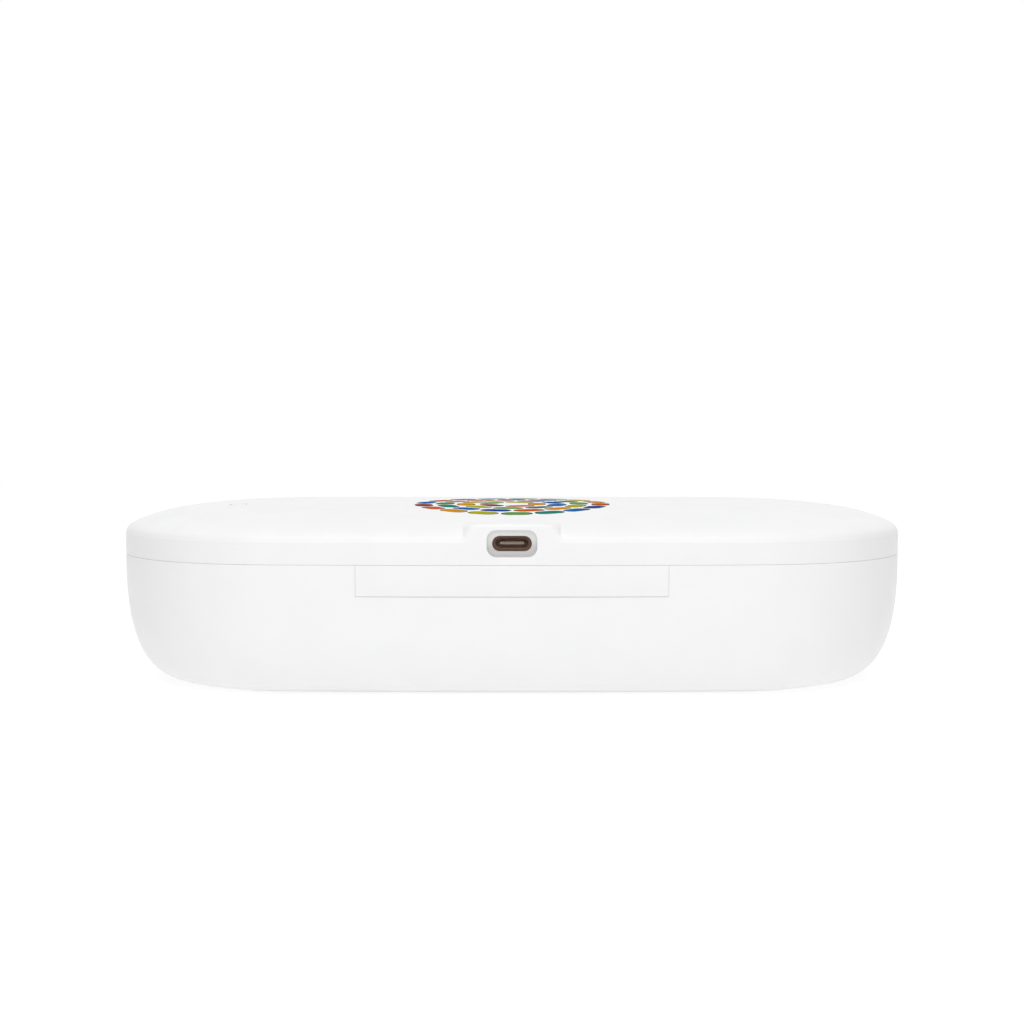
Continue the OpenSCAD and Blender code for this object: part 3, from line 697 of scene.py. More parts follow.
def build_trace_group() -> None:
    """Copper lines under a board's varnish: the edges of a grid of offset cells."""
    g, start, end = new_group(
        TRACES, {"Place": VECTOR, "Pitch": NUMBER}, {"Line": NUMBER, "Pad": NUMBER}
    )
    place = g.scaled(start.outputs["Place"], g.sum("DIVIDE", 1.0, start.outputs["Pitch"]))
    bricks = g.node(
        "TexBrick",
        {"offset": 0.5, "squash": 1.7, "squash_frequency": 3},
        {"Vector": place, "Scale": 1.0, "Mortar Size": 0.05, "Brick Width": 2.3, "Row Height": 0.5},
    )
    cells = g.node("TexVoronoi", {"feature": "F1"}, {"Vector": place, "Scale": 0.55})
    g.feed(end.inputs["Line"], bricks.outputs["Fac"])
    g.feed(end.inputs["Pad"], g.spread(cells.outputs["Distance"], 0.1, 0.13, 1.0, 0.0))


# ---------------------------------------------------------------------------- finishes


@dataclass(frozen=True)
class Finish:
    """Base of all finishes: a named material with one Principled shader."""

    name: str
    colour: Tint
    roughness: float

    def material(self) -> bpy.types.Material:
        """Builds the material, or gives the one that is there already.

        Returns:
            The material of this finish.
        """
        found = bpy.data.materials.get(self.name)
        if found:
            return found
        made = bpy.data.materials.new(self.name)
        graph = cleared(made)
        plain = {"Base Color": (*self.colour, 1.0), "Roughness": self.roughness}
        shader = graph.node("BsdfPrincipled", None, plain)
        graph.node("OutputMaterial", None, {"Surface": shader.outputs[0]})
        place = graph.scaled(graph.node("TexCoord").outputs["Object"], 1 / MM)
        self.dress(graph, shader, place)
        made.diffuse_color = (*self.colour, 1.0)
        return made

    def dress(self, g: Graph, shader: bpy.types.Node, place: Socket) -> None:
        """Adds what changes over the surface. Place is in millimetres."""

    def raise_by(self, g: Graph, shader: bpy.types.Node, height: object, depth: float) -> None:
        """Feeds a height, in millimetres times depth, to the shader's normal."""
        inputs = {"Height": height, "Strength": 1.0, "Distance": depth * MM}
        g.feed(shader.inputs["Normal"], g.node("Bump", None, inputs).outputs[0])

    def vary(
        self, g: Graph, shader: bpy.types.Node, mask: object, rough: float, dim: float
    ) -> None:
        """Lets roughness and brightness drift with a mask from 0 to 1."""
        low, high = self.roughness - rough, self.roughness + rough
        g.feed(shader.inputs["Roughness"], g.spread(mask, 0.0, 1.0, low, high))
        shade = tuple(c * (1 - dim) for c in self.colour)
        g.feed(shader.inputs["Base Color"], g.mix(mask, (*self.colour, 1.0), (*shade, 1.0)))


@dataclass(frozen=True)
class MouldedPlastic(Finish):
    """Injection-moulded plastic with a fine satin grain."""

    density: float = 3.2
    depth: float = 0.004
    drift: float = 0.03
    level: float = 0.45

    def dress(self, g: Graph, shader: bpy.types.Node, place: Socket) -> None:
        """Adds the grain and a slight drift of gloss."""
        grain = g.group(GRAIN, {"Place": place, "Density": self.density})
        self.raise_by(g, shader, grain.outputs["Height"], self.depth)
        self.vary(g, shader, grain.outputs["Mottle"], self.drift, 0.012)
        shader.inputs["IOR"].default_value = 1.49
        shader.inputs["Specular IOR Level"].default_value = self.level


@dataclass(frozen=True)
class GradedPlastic(MouldedPlastic):
    """Moulded plastic whose tone changes along one axis, from its own to a second one, as painted
    shade or painted light along that axis.
    """

    second: Tint = (0.5, 0.5, 0.5)
    axis: int = 2
    start: float = 0.0
    end: float = 1.0

    def dress(self, g: Graph, shader: bpy.types.Node, place: Socket) -> None:
        """Adds the grain, then mixes the two tones by the place along the axis."""
        MouldedPlastic.dress(self, g, shader, place)
        first = shader.inputs["Base Color"].links[0].from_socket
        # Painted shade or painted light: the tone moves to the second one along the axis.
        part = g.spread(g.axes(place)[self.axis], self.start, self.end, smooth=True)
        g.feed(shader.inputs["Base Color"], g.mix(part, first, (*self.second, 1.0)))


@dataclass(frozen=True)
class PrintedPlastic(MouldedPlastic):
    """The same plastic with rings of coloured dashes printed on the top."""

    centre: Spot = (0.0, 14.0)
    half_width: float = 2.45
    fill: float = 0.93
    lowest: float = 45.5
    rim: Tint = (0.02, 0.025, 0.02)
    ink_roughness: float = 0.95
    ink_level: float = 0.06

    def dress(self, g: Graph, shader: bpy.types.Node, place: Socket) -> None:
        """Prints the dashes over the plastic, only on the top face."""
        MouldedPlastic.dress(self, g, shader, place)
        plain = shader.inputs["Base Color"].links[0].from_socket
        shift = g.vector("SUBTRACT", place, (*self.centre, 0.0))
        print_sizes = {"Half Width": self.half_width, "Fill": self.fill}
        dashes = g.group(DASHES, {"Place": shift, **print_sizes})
        up = g.axes(place)[2]
        ink = g.sum("MULTIPLY", dashes.outputs["Ink"], g.sum("GREATER_THAN", up, self.lowest))
        rim = g.mix(dashes.outputs["Rim"], dashes.outputs["Colour"], (*self.rim, 1.0))
        g.feed(shader.inputs["Base Color"], g.mix(ink, plain, rim))
        gloss = shader.inputs["Roughness"].links[0].from_socket
        matt = g.node("Mix", None, {0: ink, 2: gloss, 3: self.ink_roughness})
        g.feed(shader.inputs["Roughness"], matt.outputs[0])
        level = g.spread(ink, 0.0, 1.0, self.level, self.ink_level)
        g.feed(shader.inputs["Specular IOR Level"], level)


@dataclass(frozen=True)
class BrightMetal(Finish):
    """Metal or metallised plastic, drawn along one axis."""

    stretch: Point = (0.15, 9.0, 9.0)
    depth: float = 0.0006
    drift: float = 0.04
    smudge: float = 26.0

    def dress(self, g: Graph, shader: bpy.types.Node, place: Socket) -> None:
        """Adds drawn lines and faint handling marks."""
        shader.inputs["Metallic"].default_value = 1.0
        lines = g.group(BRUSHED, {"Place": place, "Stretch": self.stretch})
        marks = g.group(SMUDGE, {"Place": place, "Size": self.smudge})
        self.raise_by(g, shader, lines.outputs["Height"], self.depth)
        worn = g.sum("MULTIPLY", marks.outputs[0], 0.4)
        both = g.sum("MULTIPLY_ADD", lines.outputs["Streak"], 0.6, worn)
        self.vary(g, shader, both, self.drift, 0.06)


@dataclass(frozen=True)
class SoftRubber(Finish):
    """Silicone or rubber with a matt skin."""

    density: float = 6.0
    depth: float = 0.012

    def dress(self, g: Graph, shader: bpy.types.Node, place: Socket) -> None:
        """Adds a pebbled skin and a soft sheen."""
        grain = g.group(GRAIN, {"Place": place, "Density": self.density})
        self.raise_by(g, shader, grain.outputs["Height"], self.depth)
        self.vary(g, shader, grain.outputs["Mottle"], 0.05, 0.08)
        shader.inputs["Sheen Weight"].default_value = 0.15
        shader.inputs["Sheen Roughness"].default_value = 0.5
        shader.inputs["IOR"].default_value = 1.42


@dataclass(frozen=True)
class ClearQuartz(Finish):
    """Clear fused quartz with a few faint marks."""

    def dress(self, g: Graph, shader: bpy.types.Node, place: Socket) -> None:
        """Makes the disc clear and lets its gloss drift a little."""
        shader.inputs["Transmission Weight"].default_value = 1.0
        shader.inputs["IOR"].default_value = 1.46
        marks = g.group(SMUDGE, {"Place": place, "Size": 3.0})
        rough = g.spread(marks.outputs[0], 0.0, 1.0, self.roughness, self.roughness + 0.06)
        g.feed(shader.inputs["Roughness"], rough)


@dataclass(frozen=True)
class CircuitBoard(Finish):
    """Glass-fibre board under coloured varnish, with copper lines below it."""

    pitch: float = 2.4
    pad: Tint = (0.62, 0.60, 0.55)

    def dress(self, g: Graph, shader: bpy.types.Node, place: Socket) -> None:
        """Adds the lines, their slight relief and bare pads."""
        traces = g.group(TRACES, {"Place": place, "Pitch": self.pitch})
        lighter = tuple(min(1.0, c * 1.9 + 0.01) for c in self.colour)
        varnish = g.mix(traces.outputs["Line"], (*self.colour, 1.0), (*lighter, 1.0))
        faced = g.mix(traces.outputs["Pad"], varnish, (*self.pad, 1.0))
        g.feed(shader.inputs["Base Color"], faced)
        g.feed(shader.inputs["Metallic"], traces.outputs["Pad"])
        self.raise_by(g, shader, traces.outputs["Line"], 0.03)
        shader.inputs["Coat Weight"].default_value = 0.4
        shader.inputs["Coat Roughness"].default_value = 0.15


@dataclass(frozen=True)
class Speckled(Finish):
    """Moulded epoxy, ceramic or fired resin with a fine speckle."""

    speckle: float = 0.25
    density: float = 9.0

    def dress(self, g: Graph, shader: bpy.types.Node, place: Socket) -> None:
        """Adds the speckle as colour, gloss and a low relief."""
        grain = g.group(GRAIN, {"Place": place, "Density": self.density})
        mask = g.spread(grain.outputs["Height"], 0.35, 0.7)
        self.vary(g, shader, mask, 0.06, self.speckle)
        self.raise_by(g, shader, grain.outputs["Height"], 0.008)


@dataclass(frozen=True)
class FlexFilm(Finish):
    """Amber film with copper tracks that run along it."""

    along_x: bool = True
    copper: Tint = (0.62, 0.30, 0.09)

    def dress(self, g: Graph, shader: bpy.types.Node, place: Socket) -> None:
        """Adds the tracks as stripes of a wave across the film."""
        bands = g.node(
            "TexWave",
            {"wave_type": "BANDS", "bands_direction": "Y" if self.along_x else "X"},
            {"Vector": place, "Scale": 0.42, "Distortion": 0.0},
        )
        mask = g.spread(bands.outputs["Fac"], 0.45, 0.6)
        tracks = g.mix(mask, (*self.colour, 1.0), (*self.copper, 1.0))
        g.feed(shader.inputs["Base Color"], tracks)
        self.raise_by(g, shader, mask, 0.02)
        shader.inputs["Coat Weight"].default_value = 0.6
        shader.inputs["Coat Roughness"].default_value = 0.2


SHELL = MouldedPlastic("white_shell_plastic", (0.89, 0.89, 0.892), 0.36)
LID_TOP = PrintedPlastic("white_lid_plastic", (0.89, 0.89, 0.892), 0.36)
MIRROR = BrightMetal("mirror_film", (0.86, 0.88, 0.90), 0.09, (0.05, 0.9, 0.9), 0.0004, 0.03)
SATIN = BrightMetal("satin_film", (0.80, 0.81, 0.83), 0.30, (0.2, 6.0, 6.0), 0.001, 0.05)
SILICONE = SoftRubber("pale_silicone", (0.60, 0.61, 0.63), 0.55)
RUBBER = SoftRubber("foot_rubber", (0.085, 0.085, 0.09), 0.7)
STEEL = BrightMetal("bright_steel", (0.56, 0.57, 0.59), 0.24, (3.0, 3.0, 0.4), 0.001, 0.06, 5.0)
NICKEL = BrightMetal("nickel_plate", (0.62, 0.60, 0.57), 0.16, (2.0, 2.0, 2.0), 0.0005, 0.03, 4.0)
QUARTZ = ClearQuartz("clear_quartz", (0.96, 0.98, 1.0), 0.01)
BOARD = CircuitBoard("green_board", (0.012, 0.10, 0.045), 0.32)
EPOXY = Speckled("black_epoxy", (0.012, 0.012, 0.014), 0.5)
# Grey ring in the socket's recess: its grey is partly its own and partly painted shade of the
# recess, and its darkening towards the bottom (z 42.8 to 38.8) is painted shade.
BEZEL_PAINTED_SHADE = GradedPlastic(
    "port_grey_painted_shade", (0.76, 0.76, 0.75), 0.5, second=(0.54, 0.53, 0.52), start=42.8, end=38.8
)
# Painted light: the socket's shell and tongue turn a much lighter brown deeper inside, along Y,
# where the socket lies in shade.
PAINTED_LIGHT_INSIDE = {"level": 0.15, "second": (0.52, 0.37, 0.29), "axis": 1}
BRONZE = GradedPlastic("socket_brown", (0.118, 0.064, 0.044), 0.5, start=57.5, end=56.6, **PAINTED_LIGHT_INSIDE)
TONGUE = GradedPlastic("tongue_brown_painted_light", (0.15, 0.086, 0.06), 0.5, start=56.4, end=55.4, **PAINTED_LIGHT_INSIDE)
TIPS = Speckled("contact_tips", (0.55, 0.48, 0.42), 0.45, 0.1)
CERAMIC = Speckled("lamp_ceramic", (0.72, 0.66, 0.46), 0.38, 0.1)
GOLD = BrightMetal("plated_gold", (0.83, 0.60, 0.26), 0.2, (2.0, 8.0, 2.0), 0.0004, 0.04, 2.0)
# Near-black ring with no specular, put in the button's groove as painted shade of the groove.
GROOVE_PAINTED_SHADE = MouldedPlastic("groove_painted_shade", (0.04, 0.04, 0.042), 0.9, level=0.0)
FLEX = FlexFilm("amber_flex", (0.36, 0.16, 0.025), 0.35)
FLEX_ACROSS = FlexFilm("amber_flex_across", (0.36, 0.16, 0.025), 0.35, False)


def add_piece(
    name: str,
    solid: Solid,
    body: Body,
    finish: Finish,
    nodes: tuple[str, ...] = (),
    sharp: float = 32.0,
    bevel: float = 0.0,
) -> bpy.types.Object:
    """Makes a piece of the object from a solid.

    Args:
        name: Name of the piece.
        solid: Its closed surface, in millimetres.
        body: Body that it rides on.
        finish: Its finish.
        nodes: CAD nodes that it stands for.
        sharp: Edges that turn by more than this many degrees stay sharp.
        bevel: Width of a live bevel on the sharp edges, or 0 for none.

    Returns:
        The piece.
    """
    mesh = solid.to_mesh(name)
    mesh.set_sharp_from_angle(angle=math.radians(sharp))
    mesh.materials.append(finish.material())
    piece = placed(name, mesh)
    if bevel:
        soften = piece.modifiers.new("soft_edges", "BEVEL")
        soften.width, soften.segments = bevel * MM, 2
        soften.limit_method, soften.angle_limit = "ANGLE", math.radians(50)
        soften.harden_normals = False
    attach(piece, body.value)
    if nodes:
        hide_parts(*nodes)
    stands_for = ", ".join(nodes) or "nothing"
    LOG.info("%s: %d points on %s, for %s", name, len(solid.points), body.value, stands_for)
    return piece


def dress_node(node: str, finish: Finish) -> None:
    """Gives a CAD node that keeps its shape a new finish."""
    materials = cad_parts[node].data.materials
    materials.clear()
    materials.append(finish.material())
    LOG.info("%s: dressed in %s", node, finish.name)


# ---------------------------------------------------------------------------- heights


@dataclass(frozen=True)
class Levels:
    """Heights and walls that the sub-assemblies share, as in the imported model."""

    case: float = 0.6
    flange: float = 35.1
    rim: float = 35.32
    lip: float = 35.38
    backing: float = 35.42
    lid: float = 35.62
    liner: float = 35.72
    liner_top: float = 37.72
    lamp_board: float = 39.32
    board_top: float = 40.22
    port: float = 40.82
    crease: float = 41.02
    roll: float = 47.82
    wall: float = 2.4
    flange_inset: float = 2.65
    roll_run: float = 31.6
    roll_rise: float = 6.8


LEVELS = Levels()
FIT = 0.05
SLACK = 0.25
SOFT = 0.05
LIP, LEDGE, FLANGE = 0.3, 1.6, 2.0
HINGE_Y, HINGE_Z, KNUCKLE = 57.4, 31.495, 4.125
POCKET, POCKET_GAP = 4.729, 0.016
BLOCK_HALF, NOTCH_HALF, TROUGH_HALF, TROUGH_WALL = 39.65, 39.7, 45.25, 1.6
HINGE_SCREWS, HINGE_SCREW_Y, HINGE_SEAT = (-24.0, -10.0, 10.0, 24.0), 56.8, 28.72
SCREW_HEAD, SCREW_THREAD, SCREW_RISE, SCREW_SINK = 1.9, 1.0, 1.1, 1.15
SINK_MOUTH, SINK_HOLE, BOSS = 2.15, 1.25, 2.3
PORCH_FLAT, PORCH_FOOT = 7.8, 12.5
LAMPS, LAMP_Y = (-66.0, -22.0, 22.0, 66.0), -14.0
MAGNET_AT, BUTTON_AT, BUTTON_HOLE = (28.0, -52.9), (76.0, 8.0), 2.48


def belly(start: float, run: float, low: float, high: float, steps: int) -> np.ndarray:
    """Rounded side from bottom to top: inset = start + run (1 - cos(t)^(2/wide)) and
    z = low + (high - low)(1 - sin(t)^(2/tall)), with t from 90 degrees to 0.

    Args:
        start: Inset at the top.
        run: How far the bottom is drawn in from there.
        low: Height of the bottom.
        high: Height of the top.
        steps: Number of steps.

    Returns:
        Insets and heights as an array of n x 2.
    """
    turn = np.radians(90.0) * np.linspace(1, 0, steps + 1)
    wide, tall = 2 / 3.54, 2 / 2.65
    inset = start + run * (1 - np.abs(np.cos(turn)) ** wide)
    return np.stack([inset, low + (high - low) * (1 - np.sin(turn) ** tall)], axis=-1)


def roll(start: float, run: float, rise: float, steps: int, crease: float = 0.0) -> np.ndarray:
    """Rolled edge of the lid: z = crease + h, h = rise (1 - (1 - p)^1.25)^(1/2.71), at
    inset = start + run p + c (1 - exp(-h / 0.8)) (1 - h / rise), with p = s cubed and s from
    0 to 1. The last term lets the roll leave the band at an angle.

    Args:
        start: Inset at the crease.
        run: Width of the roll.
        rise: Height of the roll.
        steps: Number of steps.
        crease: The factor c.

    Returns:
        Insets and heights as an array of n x 2.
    """
    part = np.linspace(0, 1, steps + 1) ** 3
    height = rise * (1 - (1 - part) ** 1.25) ** (1 / 2.71)
    drawn = crease * (1 - np.exp(-height / 0.8)) * (1 - height / rise)
    return np.stack([start + run * part + drawn, LEVELS.crease + height], axis=-1)


def crown(inset: np.ndarray | float) -> np.ndarray:
    """Height of the lid's outer surface where the outline is drawn in by inset."""
    left = np.maximum(0.0, 1 - np.asarray(inset) / LEVELS.roll_run)
    return LEVELS.crease + LEVELS.roll_rise * (1 - left**1.25) ** (1 / 2.71)


def round_off(
    centre: Spot, radius: float, start: float, end: float, steps: int = 4
) -> np.ndarray:
    """Arc in the plane of inset and height, from one direction to another, in degrees."""
    turn = np.radians(np.linspace(start, end, steps + 1))
    return np.asarray(centre) + radius * np.stack([np.cos(turn), np.sin(turn)], axis=-1)


def screw(head: float, thread: float, rise: float, length: float) -> Solid:
    """Screw that hangs from the underside of its head, at z = 0, with a cross recess on top.

    Args:
        head: Radius of the head.
        thread: Radius of the thread.
        rise: Height of the head.
        length: Length of the thread.

    Returns:
        The screw, head up.
    """
    edge, pitch, ridge = 0.3, 0.45, 0.12
    dome = round_off((head - edge, rise - edge), edge, 0, 90)
    ridges = max(4, int(length / pitch))
    z = np.repeat(np.linspace(-length, -0.05, ridges + 1), 2)
    r = np.tile([thread, thread - ridge], ridges + 1)
    low = np.stack([r, z], axis=-1)
    profile = np.concatenate([low, [[thread, 0.0], [head, 0.0]], dome, [[0.02, rise]]])
    body = turned(profile, 32)
    wing, reach, depth = 0.19, head * 0.62, rise * 0.35
    for x, y in ((reach, wing), (wing, reach)):
        arm = rounded_outline(2 * x, 2 * y, min(x, y) * 0.9, 3)
        body = carved(body, upright(arm, depth, rise + 1), Cut.AWAY)
    return body


def flipped(solid: Solid) -> Solid:
    """Turns a solid half round about X: (x, -y, -z)."""
    return Solid(solid.points * np.array([1.0, -1.0, -1.0]), list(solid.faces))


def hung_screws(places: list[Spot], seat: float, length: float) -> Solid:
    """The housing's screws, head down, with the undersides of their heads at one height."""
    one = flipped(screw(SCREW_HEAD, SCREW_THREAD, SCREW_RISE, length))
    return merged([one.moved((*p, seat)) for p in places])


# ---------------------------------------------------------------------------- lower case


@dataclass
class LowerCase:
    """Lower half of the box: shell, tray, rails, seal, feet and tray screws."""

    outline: Outline
    base_inset: float = 24.3
    scoop: Point = (38.0, 1.4, 7.0)
    foot: Spot = (65.7, 25.2)
    tray_screw: Spot = (39.7, 17.2)
    tray_seat: float = 1.75
    foot_radius: float = 6.0
    foot_rise: float = 1.6
    magnet: Spot = MAGNET_AT
    magnet_radius: float = 2.8
    seal_band: Spot = (9.8, 11.6)
    groove: float = 0.8
    tray_floor: float = 8.0
    rail_places: tuple[float, ...] = (-48.0, 0.0, 48.0)
    rail_size: Point = (3.0, 56.0, 2.0)
    tray_post: Point = (3.0, 3.0, 7.2)

    def corners(self, place: Spot) -> list[Spot]:
        """The same place in all four quarters."""
        return [(sx * place[0], sy * place[1]) for sx in (-1, 1) for sy in (-1, 1)]

    def shell(self) -> Solid:
        """Shell of the case: the belly outside and inside, a flat rim and a ledge for the tray.

        At the front the outer rings are drawn in for a thumb, by
        depth (1 - (x / half width)^2) times a smooth step in height.

        Returns:
            The shell with the hinge's trough, its pocket, the feet's pockets and screw holes.
        """
        lv = LEVELS
        outer = belly(0, self.base_inset, lv.case, lv.rim, 52)
        outer = outer[outer[:, 1] < lv.rim - SOFT]
        rim = round_off((SOFT, lv.rim - SOFT), SOFT, 180, 90)
        ledge = lv.flange - FLANGE
        inner = belly(lv.wall, self.base_inset - lv.wall, lv.case + lv.wall, ledge - 3, 20)[::-1]
        insets = [LIP, LIP, lv.wall, lv.wall, lv.wall + LEDGE]
        step = np.column_stack([insets, [lv.rim, lv.backing, lv.backing, ledge, ledge]])
        profile = np.concatenate([outer, rim, step, inner])
        rings = self.outline.rings(profile[:, 0], profile[:, 1])
        reach = len(outer) + len(rim)
        rings[:reach] = self.scooped(rings[:reach])
        body = lofted(rings)
        reach = POCKET + TROUGH_WALL
        low = (-TROUGH_HALF, HINGE_Y - reach, HINGE_Z - reach)
        trough = block(low, (TROUGH_HALF, HINGE_Y, lv.rim))
        body = carved(body, trough, Cut.JOIN)
        return carved(body, merged([self.pocket(), *self.holes()]), Cut.AWAY)

    def scooped(self, rings: np.ndarray) -> np.ndarray:
        """Draws the front of the outer rings in for a thumb.

        Args:
            rings: Rings of the outer surface.

        Returns:
            The rings, moved along +Y within the scoop.
        """
        width, depth, high = self.scoop
        x, y, z = rings[..., 0], rings[..., 1], rings[..., 2]
        across = np.clip(1 - (2 * x / width) ** 2, 0, 1)
        up = np.clip((z - (LEVELS.rim - high)) / (high * 0.55), 0, 1)
        deep = depth * across * up * up * (3 - 2 * up)
        moved = rings.copy()
        moved[..., 1] = np.where(y < 0, y + deep, y)
        return moved

    def pocket(self) -> Solid:
        """Space that the knuckle turns in: at each x, an arc about the hinge just outside the
        knuckle's lower rear edge, r = hypot(rear(x) - hinge y, knuckle) + gap, from the front to
        beyond the rear face, open at the rear and the top.

        Returns:
            The tool that cuts the pocket.
        """
        far, high = 62.0, LEVELS.lid + 1
        ends = []
        for x in np.linspace(-NOTCH_HALF, NOTCH_HALF, 25):
            reach = math.hypot(float(self.outline.rear(x)) - HINGE_Y, KNUCKLE) + POCKET_GAP
            arc = round_off((HINGE_Y, HINGE_Z), reach, 180, 300, 32)
            outside = [[far, arc[-1, 1]], [far, high]]
            section = np.concatenate([[[HINGE_Y - reach, high]], arc, outside])
            ends.append(np.column_stack([np.full(len(section), x), section]))
        return lofted(np.stack(ends))

    def holes(self) -> list[Solid]:
        """Pockets for the feet and holes for the tray screws."""
        feet, low = self.foot_radius + FIT, -1.0
        levels = (low, self.tray_seat, 4.0)
        return [
            *[post(p, feet, low, self.foot_rise) for p in self.corners(self.foot)],
            *[sunk(p, SINK_MOUTH, SINK_HOLE, levels) for p in self.corners(self.tray_screw)],
        ]

    def tray(self) -> Solid:
        """Drop-in tray: a flange with the seal's groove, drafted walls and a rounded floor.

        Returns:
            The tray, cut round the hinge's trough, the screws and the catch plates.
        """
        lv = LEVELS
        mouth, draft, fillet, sheet, edge = 14.0, 2.0, 4.0, 1.6, 0.5
        centre = (mouth + draft + fillet, self.tray_floor + fillet)
        inside, outside = [round_off(centre, r, 180, 270, 12) for r in (fillet, fillet + sheet)]
        lip = round_off((mouth - edge, lv.flange - edge), edge, 90, 0)
        top, sole = lv.flange, lv.flange - self.groove
        near, far = self.seal_band[0] - FIT, self.seal_band[1] + FIT
        insets = [mouth - sheet, lv.flange_inset, lv.flange_inset, near, near, far, far]
        flange = np.column_stack([insets, [top - FLANGE, top - FLANGE, top, top, sole, sole, top]])
        profile = np.concatenate([outside[::-1], flange, lip, inside])
        body = self.outline.carried(profile)
        wide, low = TROUGH_HALF + SLACK, HINGE_Y - POCKET - TROUGH_WALL - SLACK
        cuts = [block((-wide, low, 3.0), (wide, 59.5, lv.lid))]
        for side in (-1, 1):
            place = (side * self.magnet[0], self.magnet[1])
            cuts.append(post(place, self.magnet_radius + FIT, lv.flange - 1.2, lv.flange + 1))
        body = carved(body, merged(cuts), Cut.AWAY)
        posts = [post(p, *self.tray_post) for p in self.corners(self.tray_screw)]
        return merged([body, *posts])

    def rails(self) -> Solid:
        """Rails on the tray's floor: a stadium section whose top edge is rounded off."""
        wide, long, rise = self.rail_size
        edge, high = 0.7, self.tray_floor + rise
        top = round_off((edge, high - edge), edge, 180, 90, 6)
        rings = []
        for r, z in np.concatenate([[[0.0, self.tray_floor]], top]):
            outline = rounded_outline(wide - 2 * r, long - 2 * r, wide / 2 - 0.01 - r)
            rings.append(np.column_stack([outline, np.full(len(outline), z)]))
        one = lofted(np.stack(rings))
        return merged([one.moved((x, 0.0, 0.0)) for x in self.rail_places])

    def seal(self) -> Solid:
        """Soft ring in the flange's groove, with a rounded back: a closed section carried round
        the outline and joined to itself."""
        low, high, r = LEVELS.flange - self.groove, LEVELS.liner - 0.3, 0.45
        outer, inner = self.seal_band
        section = np.concatenate([
            [[inner, low], [outer, low]],
            round_off((outer + r, high - r), r, 180, 90),
            round_off((inner - r, high - r), r, 90, 0),
        ])
        return self.outline.carried(section, looped=True)

    def feet(self) -> Solid:
        """Turned feet with a rounded edge and a shallow dish below."""
        r, edge = self.foot_radius, 0.4
        profile = np.concatenate([
            [[0.05, 0.15], [r - 1.6, 0.12], [r - 1.2, 0.0]],
            round_off((r - edge, edge), edge, 270, 360),
            [[r, self.foot_rise], [0.05, self.foot_rise]],
        ])
        return merged([turned(profile, at=p) for p in self.corners(self.foot)])

    def build(self) -> None:
        """Makes and dresses every piece of the lower half."""
        add_piece("lower_shell", self.shell(), Body.BASE, SHELL, ("lower_case",))
        add_piece("mirror_tray", self.tray(), Body.BASE, MIRROR, ("chamber_tray",))
        add_piece("phone_rails", self.rails(), Body.BASE, SILICONE, ("phone_rests",))
        add_piece("seal_ring", self.seal(), Body.BASE, SILICONE, ("rim_seal",))
        add_piece("soft_feet", self.feet(), Body.BASE, RUBBER, ("rubber_feet",))
        screws = hung_screws(self.corners(self.tray_screw), self.tray_seat, 5.0)
        add_piece("tray_fixings", screws, Body.BASE, STEEL, ("tray_screws",))
        dress_node("catch_plates", STEEL)


# ---------------------------------------------------------------------------- lid


